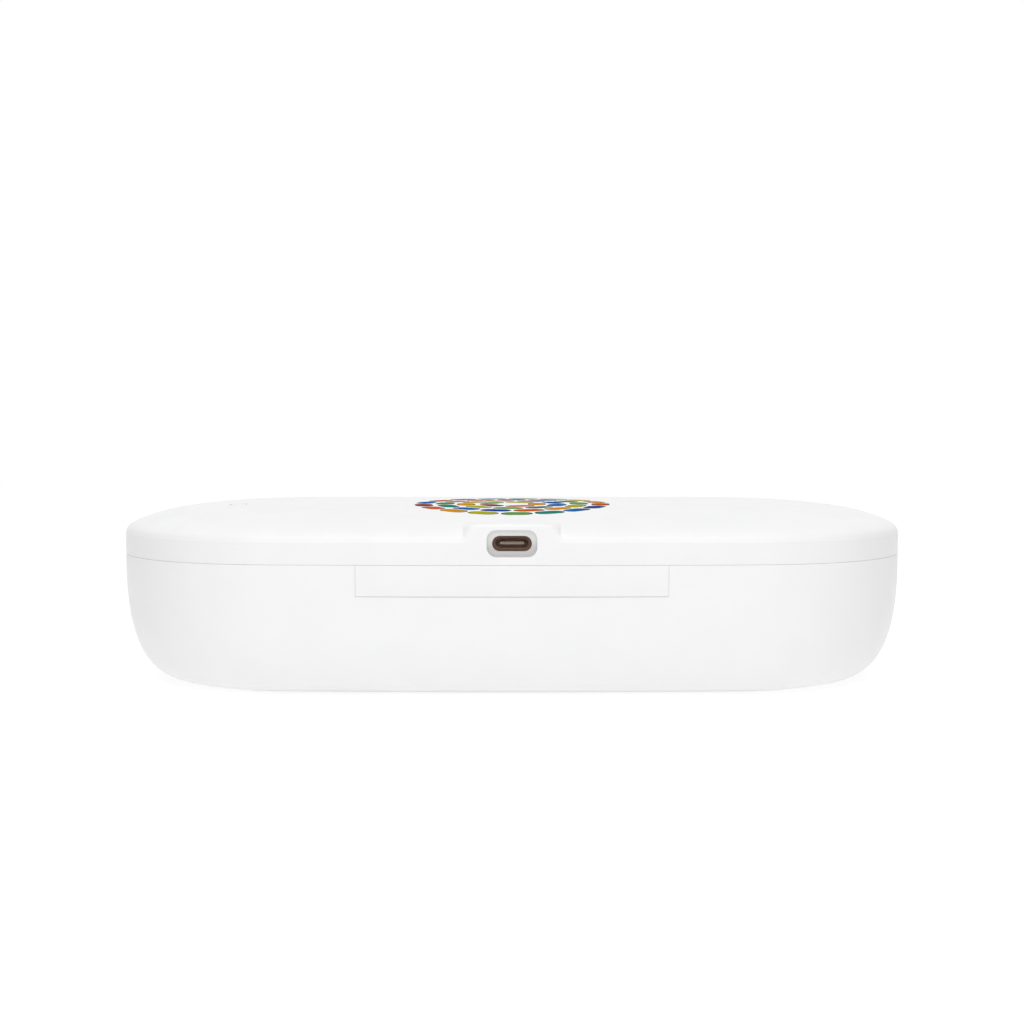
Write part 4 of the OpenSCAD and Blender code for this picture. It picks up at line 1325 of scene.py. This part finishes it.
@dataclass
class Lid:
    """Upper half of the box: cover with its porch, liner, windows, magnets and screws."""

    outline: Outline
    porch_flat: float = PORCH_FLAT
    porch_foot: float = PORCH_FOOT
    porch_top: float = 45.82
    porch_edge: float = 0.9
    crease: float = 0.3
    button: Spot = BUTTON_AT
    lamps: tuple[float, ...] = LAMPS
    lamp_y: float = LAMP_Y
    window: float = 5.75
    window_rise: float = 1.2
    magnet: Spot = MAGNET_AT
    bosses: tuple[Spot, ...] = ((92.0, 0.0), (45.0, -45.5), (62.0, 45.5))
    recess: Point = (12.7, 6.8, 2.4)
    opening: Point = (10.1, 3.95, 1.955)
    recess_depth: float = 1.2
    recess_soft: float = 0.15
    roll_steps: int = 44
    dome_steps: int = 13
    dome_rise: float = 0.5
    boss_gap: float = 1.44
    guide: Point = (4.4, 0.8, 1.9)

    @property
    def boss_places(self) -> list[Spot]:
        """Places of all the bosses, on both sides."""
        return [(side * x, y) for x, y in self.bosses for side in (-1, 1)]

    def porch_share(self, x: np.ndarray) -> np.ndarray:
        """How much of the porch's height a distance from the middle has. With v = 1 - u^2.9 and
        u from 0 at the end of the flat to 1 at the foot, it is 1.08 v^2 / (v + 0.08).

        Args:
            x: Distances from the middle.

        Returns:
            Shares of the height, one for each distance.
        """
        u = np.clip((np.abs(x) - self.porch_flat) / (self.porch_foot - self.porch_flat), 0, 1)
        share = 1 - u**2.9
        return 1.08 * share**2 / (share + 0.08)

    def porch_path(self, steps: int) -> np.ndarray:
        """Profile through the porch's middle, with as many points as the rolled edge: up the
        face, round its edge, along its top, then on the roll itself.

        Args:
            steps: Number of steps in the rolled edge.

        Returns:
            Insets and heights as an array of n x 2.
        """
        path = roll(0, LEVELS.roll_run, LEVELS.roll_rise, steps)
        meet = int(np.argmax(path[:, 1] >= self.porch_top))
        face, bend = int(meet * 0.45), int(meet * 0.3)
        edge, top = self.porch_edge, self.porch_top
        rise = np.linspace(LEVELS.crease, top - edge, face + 1)
        path[: face + 1] = np.stack([np.zeros(face + 1), rise], axis=-1)
        path[face : face + bend + 1] = round_off((edge, top - edge), edge, 180, 90, bend)
        rest = meet - face - bend
        along = np.linspace(0, 1, rest + 1)
        path[face + bend : meet + 1, 0] = edge + (path[meet, 0] - edge) * along
        path[face + bend : meet + 1, 1] = top + (path[meet, 1] - top) * along**2
        return path

    def cover(self) -> Solid:
        """Outer shell: lip, band, rolled edge and a low dome, blended into the porch.

        Each column's profile is (1 - w) roll + w porch, with w the porch's share at its x.
        The dome is the last ring shrunk to s, at z = roll top + 0.5 (1 - s^2).

        Returns:
            The cover with the socket's recess and the button's hole cut out.
        """
        lv = LEVELS
        edge = roll(0, lv.roll_run, lv.roll_rise, self.roll_steps, self.crease)
        porch = self.porch_path(self.roll_steps)
        _, _, way = self.outline.arcs()
        column = self.outline.rings(np.zeros(1), np.zeros(1))[0]
        share = np.where(way[:, 1] > 0, self.porch_share(column[:, 0]), 0.0)
        share = share[None, :, None]
        mixed = edge[:, None, :] * (1 - share) + porch[:, None, :] * share
        inner = roll(lv.wall, lv.roll_run - lv.wall, lv.roll_rise - lv.wall, 14)[::-1]
        lip = np.concatenate([
            [[lv.wall, lv.lid], [LIP - SOFT, lv.lid], [LIP - SOFT, lv.lip]],
            round_off((SOFT, lv.lip + SOFT), SOFT, 270, 180),
            [[0.0, lv.crease - 0.08]],
        ])
        start = np.concatenate([inner, lip])
        start = np.broadcast_to(start[:, None, :], (len(start), len(column), 2))
        profile = np.concatenate([start, mixed])
        body = self.outline.rings(profile[..., 0], profile[..., 1])
        s = np.linspace(1, 0.02, self.dome_steps + 1)[1:]
        high = lv.roll + self.dome_rise * (1 - s**2)
        dome = self.outline.rings(np.full(self.dome_steps, lv.roll_run), high, s)
        whole = lofted(np.concatenate([body, dome]))
        return carved(whole, merged([self.socket_cut(), self.button_cut()]), Cut.AWAY)

    def socket_cut(self) -> Solid:
        """Tool for the socket's recess: a mouth that flares softly, the recess, its floor and
        the opening, as rounded outlines pushed along Y."""
        near, soft = self.outline.depth / 2, self.recess_soft
        sine = np.sin(np.radians(np.linspace(0, 90, 5)))
        flare = [(near + 1, soft), *zip(near - soft * sine, soft * (1 - sine))]
        wide, tall, corner = self.recess
        steps = [(wide + 2 * g, tall + 2 * g, corner + g, float(y)) for y, g in flare]
        floor = near - self.recess_depth
        steps += [(*self.recess, floor), (*self.opening, floor), (*self.opening, near - 13)]
        outlines = [rounded_outline(*o) for *o, _ in steps]
        return pushed_y(outlines, [y for *_, y in steps], LEVELS.port)

    def button_cut(self) -> Solid:
        """Tool for the button's hole."""
        return post(self.button, BUTTON_HOLE, 40.0, 50.0, 64)

    def fixings(self) -> Solid:
        """Bosses and the hinge's seat, which hang from the cover's inside."""
        lv = LEVELS
        parts = []
        for place in self.boss_places:
            high = float(crown(self.outline.inset_at(place))) - self.boss_gap
            parts.append(post(place, BOSS, lv.liner_top, high, 32))
        rear = float(self.outline.rear(BLOCK_HALF)) - 0.8
        low = (-BLOCK_HALF, HINGE_Y - KNUCKLE, lv.lid)
        parts.append(block(low, (BLOCK_HALF, rear, lv.lid + 2.2)))
        for x in HINGE_SCREWS:
            parts.append(post((x, HINGE_SCREW_Y), BOSS, lv.lid + 1.1, lv.lid + 4.2, 32))
        radius, drop, rise = self.guide
        under = float(crown(self.outline.inset_at(self.button))) - lv.wall - drop
        radii = [BUTTON_HOLE, radius, radius, BUTTON_HOLE]
        guide = np.column_stack([radii, [under, under, under + rise, under + rise]])
        parts.append(turned(guide, 48, self.button))
        return merged(parts)

    def liner(self) -> Solid:
        """Inner panel: a plate with softened edges, cut for the windows, screws and magnets."""
        lv, soft = LEVELS, 0.4
        low, high, r = lv.liner, lv.liner_top, lv.flange_inset
        under_edge = round_off((r + soft, low + soft), soft, 270, 180)
        profile = np.concatenate([under_edge, round_off((r + soft, high - soft), soft, 180, 90)])
        body = self.outline.carried(profile)
        wide, far = BLOCK_HALF + SLACK, HINGE_Y - KNUCKLE - SLACK
        under, over = low - 1, high + 1
        cuts = [block((-wide, far, under), (wide, 62.0, over))]
        seat, rim, hole = high - self.window_rise, self.window + FIT, 5.0
        heights = [under, low, low + 0.6, seat, seat, over]
        mouth = np.column_stack([[hole + 0.6, hole + 0.6, hole, hole, rim, rim], heights])
        cuts += [turned(mouth, at=(x, self.lamp_y)) for x in self.lamps]
        levels = (under, low + SCREW_SINK, over)
        cuts += [sunk(p, SINK_MOUTH, SINK_HOLE, levels) for p in self.boss_places]
        x, y = self.magnet
        cuts += [post((s * x, y), 2.85, under, low + 1.2) for s in (-1, 1)]
        return carved(body, merged(cuts), Cut.AWAY)

    def discs(self) -> Solid:
        """Turned window discs with a small chamfer on both edges."""
        high, r, edge = LEVELS.liner_top, self.window, 0.15
        low = high - self.window_rise
        radii = [0.02, r - edge, r, r, r - edge, 0.02]
        glass = np.column_stack([radii, [low, low, low + edge, high - edge, high, high]])
        return merged([turned(glass, at=(x, self.lamp_y)) for x in self.lamps])

    def build(self) -> None:
        """Makes and dresses every piece of the lid's housing."""
        cover = self.cover() + self.fixings()
        add_piece("lid_shell", cover, Body.LID, LID_TOP, ("lid_cover",))
        add_piece("liner_panel", self.liner(), Body.LID, SATIN, ("lid_liner",))
        screws = hung_screws(self.boss_places, LEVELS.liner + SCREW_SINK, 4.75)
        add_piece("liner_fixings", screws, Body.LID, STEEL, ("liner_screws",))
        add_piece("quartz_discs", self.discs(), Body.LID, QUARTZ, ("uv_windows",))
        dress_node("lid_magnets", NICKEL)


# ---------------------------------------------------------------------------- hinge


@dataclass
class HingeKnuckle:
    """Block that hangs under the lid and turns in the lower case, with its pins and screws."""

    outline: Outline
    screws: tuple[float, ...] = HINGE_SCREWS

    def knuckle(self) -> Solid:
        """Section (y, z) carried along X: a quarter circle in front, and a rear face that
        follows the outline, y = rear(x), with a step for the lid's lip.

        Returns:
            The block with its screw holes.
        """
        r, soft = KNUCKLE, 0.08
        front = round_off((HINGE_Y, HINGE_Z), r, 180, 270, 24)
        front = np.concatenate([[[HINGE_Y - r, HINGE_Z + r]], front])
        x = np.linspace(-BLOCK_HALF, BLOCK_HALF, 61)
        rear = self.outline.rear(x)
        low, mid, top = HINGE_Z - r, LEVELS.rim, LEVELS.lid
        insets = [soft, 0.3 * soft, 0.0, 0.0, SOFT, LIP, LIP]
        heights = [low, low + 0.3 * soft, low + soft, mid - SOFT, mid, mid, top]
        rows = [np.broadcast_to(front[None], (len(x), *front.shape))]
        for inset, z in zip(insets, heights):
            rows.append(np.stack([rear - inset, np.full(len(x), z)], axis=-1)[:, None, :])
        section = np.concatenate(rows, axis=1)
        along = np.broadcast_to(x[:, None, None], (*section.shape[:2], 1))
        body = lofted(np.concatenate([along, section], axis=-1))
        levels = (low - 1, HINGE_SEAT, top + 1)
        cuts = [sunk((x0, HINGE_SCREW_Y), 1.95, 1.05, levels) for x0 in self.screws]
        return carved(body, merged(cuts), Cut.AWAY)

    def build(self) -> None:
        """Makes and dresses the knuckle, its screws and its pins."""
        add_piece(
            "hinge_knuckle",
            self.knuckle(),
            Body.LID,
            SHELL,
            ("hinge_block",),
            bevel=0.05,
        )
        screws = hung_screws([(x, HINGE_SCREW_Y) for x in self.screws], HINGE_SEAT, 10.0)
        add_piece("hinge_fixings", screws, Body.LID, STEEL, ("hinge_screws",))
        dress_node("hinge_pins", STEEL)


# ---------------------------------------------------------------------------- socket


@dataclass
class ChargingSocket:
    """Socket for the charging plug: shell, tongue and contacts."""

    mouth: float = 57.9
    length: float = 7.6
    back: float = 2.4
    bezel_floor: float = 58.3

    def shell(self) -> Solid:
        """Drawn shell whose mouth is rolled out to a flange: rounded outlines pushed along Y
        outside, round the lip and back inside, joined to themselves."""
        rear, lip = self.mouth - self.length, self.mouth
        steps = [
            (8.94, 3.26, rear), (8.94, 3.26, lip - 0.5), (10.0, 3.85, lip - 0.4),
            (10.0, 3.85, lip - 0.08), (9.84, 3.69, lip), (8.6, 2.92, lip),
            (8.34, 2.66, lip - 0.25), (8.34, 2.66, rear),
        ]
        outlines = [rounded_outline(w, h, h / 2 - 0.02) for w, h, _ in steps]
        return pushed_y(outlines, [y for *_, y in steps], LEVELS.port, looped=True)

    def tongue(self) -> Solid:
        """Plug-shaped back and the tongue in front of it, with a rounded tip."""
        rear = self.mouth - self.length
        base = rounded_outline(8.29, 2.61, 1.285)
        back = pushed_y([base, base], [rear, rear + self.back], LEVELS.port)
        outline = rounded_outline(6.7, 0.7, 0.1, 3)
        tip = rounded_outline(6.5, 0.5, 0.08, 3)
        front = rear + 6.4
        reach = [rear + self.back - 0.02, front - 0.1, front]
        return back + pushed_y([outline, outline, tip], reach, LEVELS.port)

    def contacts(self) -> Solid:
        """Twelve strips on each face of the tongue that wrap a little over its tip."""
        rear, port = self.mouth - self.length, LEVELS.port
        strips = (
            (0.14, self.back, 6.28, -0.41, -0.345),
            (0.14, self.back, 6.28, 0.345, 0.41),
            (0.13, 6.3, 6.43, -0.2, 0.2),
        )
        parts = []
        for x in (np.arange(12) - 5.5) * 0.5:
            for half, start, end, low, high in strips:
                far = (x + half, rear + end, port + high)
                parts.append(block((x - half, rear + start, port + low), far))
        return merged(parts)

    def bezel(self) -> Solid:
        """Flat ring on the recess's floor round the opening: rounded outlines pushed along Y,
        outside and back inside, joined to themselves."""
        floor = self.bezel_floor
        steps = [
            (12.68, 6.78, 2.39, floor), (12.68, 6.78, 2.39, floor + 0.12),
            (10.3, 4.15, 2.07, floor + 0.12), (10.06, 3.91, 1.95, floor + 0.05),
            (10.06, 3.91, 1.95, floor),
        ]
        outlines = [rounded_outline(*o) for *o, _ in steps]
        return pushed_y(outlines, [y for *_, y in steps], LEVELS.port, looped=True)

    def build(self) -> None:
        """Makes and dresses the socket."""
        # The bezel's grey is partly its own and partly painted shade of the recess; it is darker
        # towards the bottom as painted shade.
        add_piece("port_bezel", self.bezel(), Body.LID, BEZEL_PAINTED_SHADE)
        # The shell and the tongue lighten deeper inside as painted light.
        add_piece("socket_shell", self.shell(), Body.LID, BRONZE, ("usb_shell",))
        add_piece("socket_tongue", self.tongue(), Body.LID, TONGUE, ("usb_tongue",))
        add_piece("socket_contacts", self.contacts(), Body.LID, TIPS, ("usb_contacts",))


# ---------------------------------------------------------------------------- lamps and boards


@dataclass
class LampRow:
    """Lamps behind the windows, on their long board."""

    lamps: tuple[float, ...] = LAMPS
    lamp_y: float = LAMP_Y

    def packages(self) -> Solid:
        """Lamp packages: a square base, a raised wall round a pit and a domed lens in it."""
        top = LEVELS.lamp_board
        base = [
            np.column_stack([rounded_outline(w, w, 0.2, 3), np.full(16, z)])
            for w, z in ((3.5, top), (3.5, top - 0.7), (2.9, top - 0.7), (2.6, top - 0.5))
        ]
        turn = np.radians(np.linspace(90, 0, 9))
        lens = np.stack([1.2 * np.cos(turn) + 0.01, top - 0.4 - 0.8 * np.sin(turn)], axis=-1)
        one = lofted(np.stack(base)) + turned(np.concatenate([lens, [[0.01, top - 0.4]]]), 32)
        return merged([one.moved((x, self.lamp_y, 0.0)) for x in self.lamps])

    def build(self) -> None:
        """Makes and dresses the lamps and dresses their board."""
        add_piece("lamp_packages", self.packages(), Body.LID, CERAMIC, ("uv_leds",))
        dress_node("uv_led_board", BOARD)
        dress_node("led_board_screws", STEEL)
        dress_node("led_flex", FLEX_ACROSS)


@dataclass
class Electronics:
    """Boards, chips and films inside the lid."""

    finishes: dict[str, Finish] = field(
        default_factory=lambda: {
            "main_board": BOARD,
            "board_components": EPOXY,
            "board_screws": STEEL,
            "switch_board": BOARD,
            "tact_switch": EPOXY,
            "switch_flex": FLEX,
        }
    )

    def build(self) -> None:
        """Dresses the hidden nodes, which keep their shapes."""
        for node, finish in self.finishes.items():
            dress_node(node, finish)


# ---------------------------------------------------------------------------- power button


@dataclass
class PowerButton:
    """Small round button that lies flush in the lid's top, in a dark ring that is painted shade of
    its groove.
    """

    outline: Outline
    place: Spot = BUTTON_AT
    radius: float = 2.2
    stem: float = 1.6
    collar: float = 3.2

    @property
    def face(self) -> float:
        """Height of the lid's top at the button's middle."""
        return float(crown(self.outline.inset_at(self.place)))

    def flush(self, solid: Solid, above: float) -> Solid:
        """Moves a solid to the button's place and lets its points above a height follow the
        lid: z + crown(inset(x, y)) - crown(inset(place)).

        Args:
            solid: Solid about the vertical axis.
            above: Height above which its points follow.

        Returns:
            The moved solid.
        """
        made = solid.moved((*self.place, 0.0))
        slope = crown(self.outline.end_inset(made.points)) - self.face
        made.points[:, 2] += np.where(made.points[:, 2] > above, slope, 0.0)
        return made

    def cap(self) -> Solid:
        """Turned cap with a rounded edge, its collar and its stem."""
        r, face, edge = self.radius, self.face, 0.12
        under, foot = face - LEVELS.wall - 1.85, LEVELS.board_top + 3.05
        profile = np.concatenate([
            [[0.02, foot], [self.stem, foot], [self.stem, under]],
            [[self.collar, under], [self.collar, under + 1], [r, under + 1]],
            round_off((r - edge, face - edge), edge, 0, 90),
            [[1.2, face], [0.02, face]],
        ])
        return self.flush(turned(profile), face - 0.5)

    def ring(self) -> Solid:
        """Dark ring in the groove, as painted shade of the groove: a closed section carried round
        the axis, just below the lid's surface."""
        inner, outer, edge = self.radius + 0.02, self.radius + 0.27, 0.02
        r = np.array([inner, inner, inner + edge, outer - edge, outer, outer])[:, None]
        z = self.face + np.array([-0.5, -0.035, -0.015, -0.015, -0.035, -0.5])[:, None]
        turn = np.linspace(0, 2 * math.pi, 72, endpoint=False)
        high = np.broadcast_to(z, (len(z), len(turn)))
        rings = np.stack([r * np.cos(turn), r * np.sin(turn), high], axis=-1)
        return self.flush(lofted(rings, looped=True), 0.0)

    def build(self) -> None:
        """Makes and dresses the button."""
        add_piece("button_cap", self.cap(), Body.BUTTON, SHELL, ("power_button",))
        # The dark ring is painted shade in the button's groove.
        add_piece("button_groove_shade", self.ring(), Body.LID, GROOVE_PAINTED_SHADE)


# ---------------------------------------------------------------------------- studio


@dataclass
class Studio:
    """Lit pale table, soft light and the camera at the photograph's angle."""

    ambient: float = 0.67
    side_drop: float = 0.35
    table_light: float = 0.57
    floor_glow: float = 0.54
    shadow: float = 0.62
    camera_at: Point = (0.0, 560.8, 80.75)
    pitch: float = 3.637
    view_angle: float = 28.8
    stance: Spot = (0.0596, 0.0135)
    stance_bow: float = 0.394
    # Painted contact shadow on the table: between these distances from the stance, the seen glow
    # rises from the painted shade to full.
    contact: Spot = (0.0232, 0.0275)
    painted_contact_shade: float = 0.28
    far_floor: Spot = (0.4, 1.2)
    table_tone: Spot = (0.44, 0.46)
    table_fade: Spot = (0.09, 0.3)
    table_drop: float = 0.3
    aim: Point = (0.0, 0.0, 0.02)

    def camera(self) -> None:
        """Sets the camera: it looks along -Y from above the rear, pitched down."""
        data = bpy.data.cameras.new("camera")
        data.angle = math.radians(self.view_angle)
        data.clip_start, data.clip_end = 0.01, 100.0
        eye = placed("camera", data)
        eye.location = [c * MM for c in self.camera_at]
        eye.rotation_euler = (math.radians(90 - self.pitch), 0.0, math.radians(180))
        bpy.context.scene.camera = eye

    def lamp(self, name: str, at: Point, size: float, power: float, glossy: bool) -> None:
        """Adds a square soft lamp, in metres, aimed at the box, with or without its highlight."""
        data = bpy.data.lights.new(name, "AREA")
        data.shape, data.size, data.energy = "SQUARE", size, power
        lamp = placed(name, data)
        lamp.visible_glossy = glossy
        lamp.location = at
        direction = np.asarray(self.aim) - np.asarray(at)
        yaw = math.atan2(direction[0], -direction[1])
        tilt = math.atan2(math.hypot(direction[0], direction[1]), -direction[2])
        lamp.rotation_euler = (tilt, 0.0, yaw + math.pi)

    def world(self) -> None:
        """Pale surroundings, white where they are seen, straight or in a reflection. The light
        that they give is lower and dims towards both sides."""
        world = bpy.data.worlds.new("studio")
        bpy.context.scene.world = world
        g = cleared(world)
        aside = g.sum("ABSOLUTE", g.axes(g.node("TexCoord").outputs["Generated"])[0])
        given = g.spread(aside, 0.5, 1.0, self.ambient, self.ambient - self.side_drop)
        light = g.node("Background", None, {"Color": WHITE, "Strength": given})
        shown = g.node("Background", None, {"Color": WHITE, "Strength": 1.0})
        mixed = g.shaders(self.seen(g), light, shown)
        g.node("OutputWorld", None, {"Surface": mixed.outputs[0]})

    def seen(self, g: Graph) -> Socket:
        """Gives 1 for camera, glossy and transmission rays, and 0 for others."""
        path = g.node("LightPath").outputs
        straight = g.sum("MAXIMUM", path["Is Camera Ray"], path["Is Transmission Ray"])
        return g.sum("MAXIMUM", straight, path["Is Glossy Ray"])

    def lit(self, g: Graph, colour: Socket, light: Socket) -> bpy.types.Node:
        """Adds a diffuse surface of a colour to a white light."""
        surface = g.node("BsdfDiffuse", None, {"Color": colour})
        glow = g.node("Emission", None, {"Color": WHITE, "Strength": light})
        return g.node("AddShader", None, {0: surface.outputs[0], 1: glow.outputs[0]})

    def away(self, g: Graph, x: Socket, y: Socket) -> Socket:
        """Distance from the box's stance: hypot(max(|x| - a, 0), max(|y| - b + c x^2, 0)), with
        (a, b) the stance and c its bow. It is 21.7 mm at the edge of the box's flat base."""
        half, deep = self.stance
        aside = g.sum("ABSOLUTE", x)
        past = g.sum("MAXIMUM", g.sum("SUBTRACT", aside, half), 0.0)
        bowed = g.sum("MULTIPLY_ADD", g.sum("MULTIPLY", aside, aside), self.stance_bow, -deep)
        beyond = g.sum("MAXIMUM", g.sum("ADD", g.sum("ABSOLUTE", y), bowed), 0.0)
        return g.hypot(past, beyond)

    def paper(self) -> bpy.types.Material:
        """Material of the lit table. Where it is seen it is white with the object's soft shadow,
        with a painted contact shadow that darkens it near the box's base, and plain white far off.
        To all other rays it is a paper that lights the belly. From below it is clear, so that the
        feet can be seen.

        Returns:
            The material.
        """
        made = bpy.data.materials.new("floor_paper")
        g = cleared(made)
        place = g.node("TexCoord").outputs["Object"]
        tone = g.spread(g.noise(place, 3.0), 0.3, 0.7, *self.table_tone)
        x, y, _ = g.axes(place)
        aside, edge_light = g.sum("ABSOLUTE", x), self.table_light * self.table_drop
        glow = g.spread(aside, *self.table_fade, self.table_light, edge_light, smooth=True)
        out = self.away(g, x, y)
        # Painted contact shadow: the seen glow is dimmed by position near the box's base.
        rise = g.spread(out, *self.contact, self.painted_contact_shade, 1.0, smooth=True)
        near = g.sum("MULTIPLY", self.floor_glow, rise)
        far = g.spread(out, *self.far_floor)
        white = g.sum("MULTIPLY_ADD", g.sum("SUBTRACT", 1.0, near), far, near)
        dim = g.spread(far, 0.0, 1.0, self.shadow, 0.0)
        top = g.shaders(self.seen(g), self.lit(g, tone, glow), self.lit(g, dim, white))
        behind = g.node("NewGeometry").outputs["Backfacing"]
        hidden = g.sum("MULTIPLY", behind, g.node("LightPath").outputs["Is Camera Ray"])
        sided = g.shaders(hidden, top, g.node("BsdfTransparent"))
        g.node("OutputMaterial", None, {"Surface": sided.outputs[0]})
        return made

    def floor(self) -> None:
        """Lays the table, 12 metres square."""
        half = 6.0
        flat = np.array([[-half, -half], [half, -half], [half, half], [-half, half]]) / MM
        sheet = Solid(np.column_stack([flat, np.zeros(4)]), [np.arange(4)[None, :]])
        mesh = sheet.to_mesh("floor")
        mesh.materials.append(self.paper())
        floor = placed("floor", mesh)

    def build(self) -> None:
        """Sets the studio up."""
        scene = bpy.context.scene
        scene.view_settings.view_transform = "Standard"
        self.camera()
        self.world()
        self.floor()
        self.lamp("rear_soft_lamp", (0.0, 1.1, 1.05), 1.4, 4.2, False)
        self.lamp("rear_bright_lamp", (0.0, 1.17, 1.12), 1.4, 4.9, True)
        self.lamp("top_soft_lamp", (0.0, 0.1, 1.5), 1.4, 4.0, False)


def main() -> None:
    """Builds the shared effects, the studio and every sub-assembly of the box. The outline is
    sampled more closely where the porch rises out of it."""
    logging.basicConfig(level=logging.INFO, format="%(name)s: %(message)s")
    for build in (
        build_grain_group,
        build_brushed_group,
        build_smudge_group,
        build_dash_group,
        build_trace_group,
    ):
        build()
    Studio().build()
    side = PORCH_FLAT + (PORCH_FOOT - PORCH_FLAT) * np.linspace(1, 0, 19) ** 0.6
    marks = (20.0, 17.0, 14.5, 13.0, *side, 6.0, 4.0, 2.0, 0.0)
    outline = Outline(marks=tuple(float(m) for m in marks))
    for part in (
        LowerCase(outline),
        Lid(outline),
        HingeKnuckle(outline),
        ChargingSocket(),
        LampRow(),
        Electronics(),
        PowerButton(outline),
    ):
        part.build()


if __name__ == "__main__":
    main()
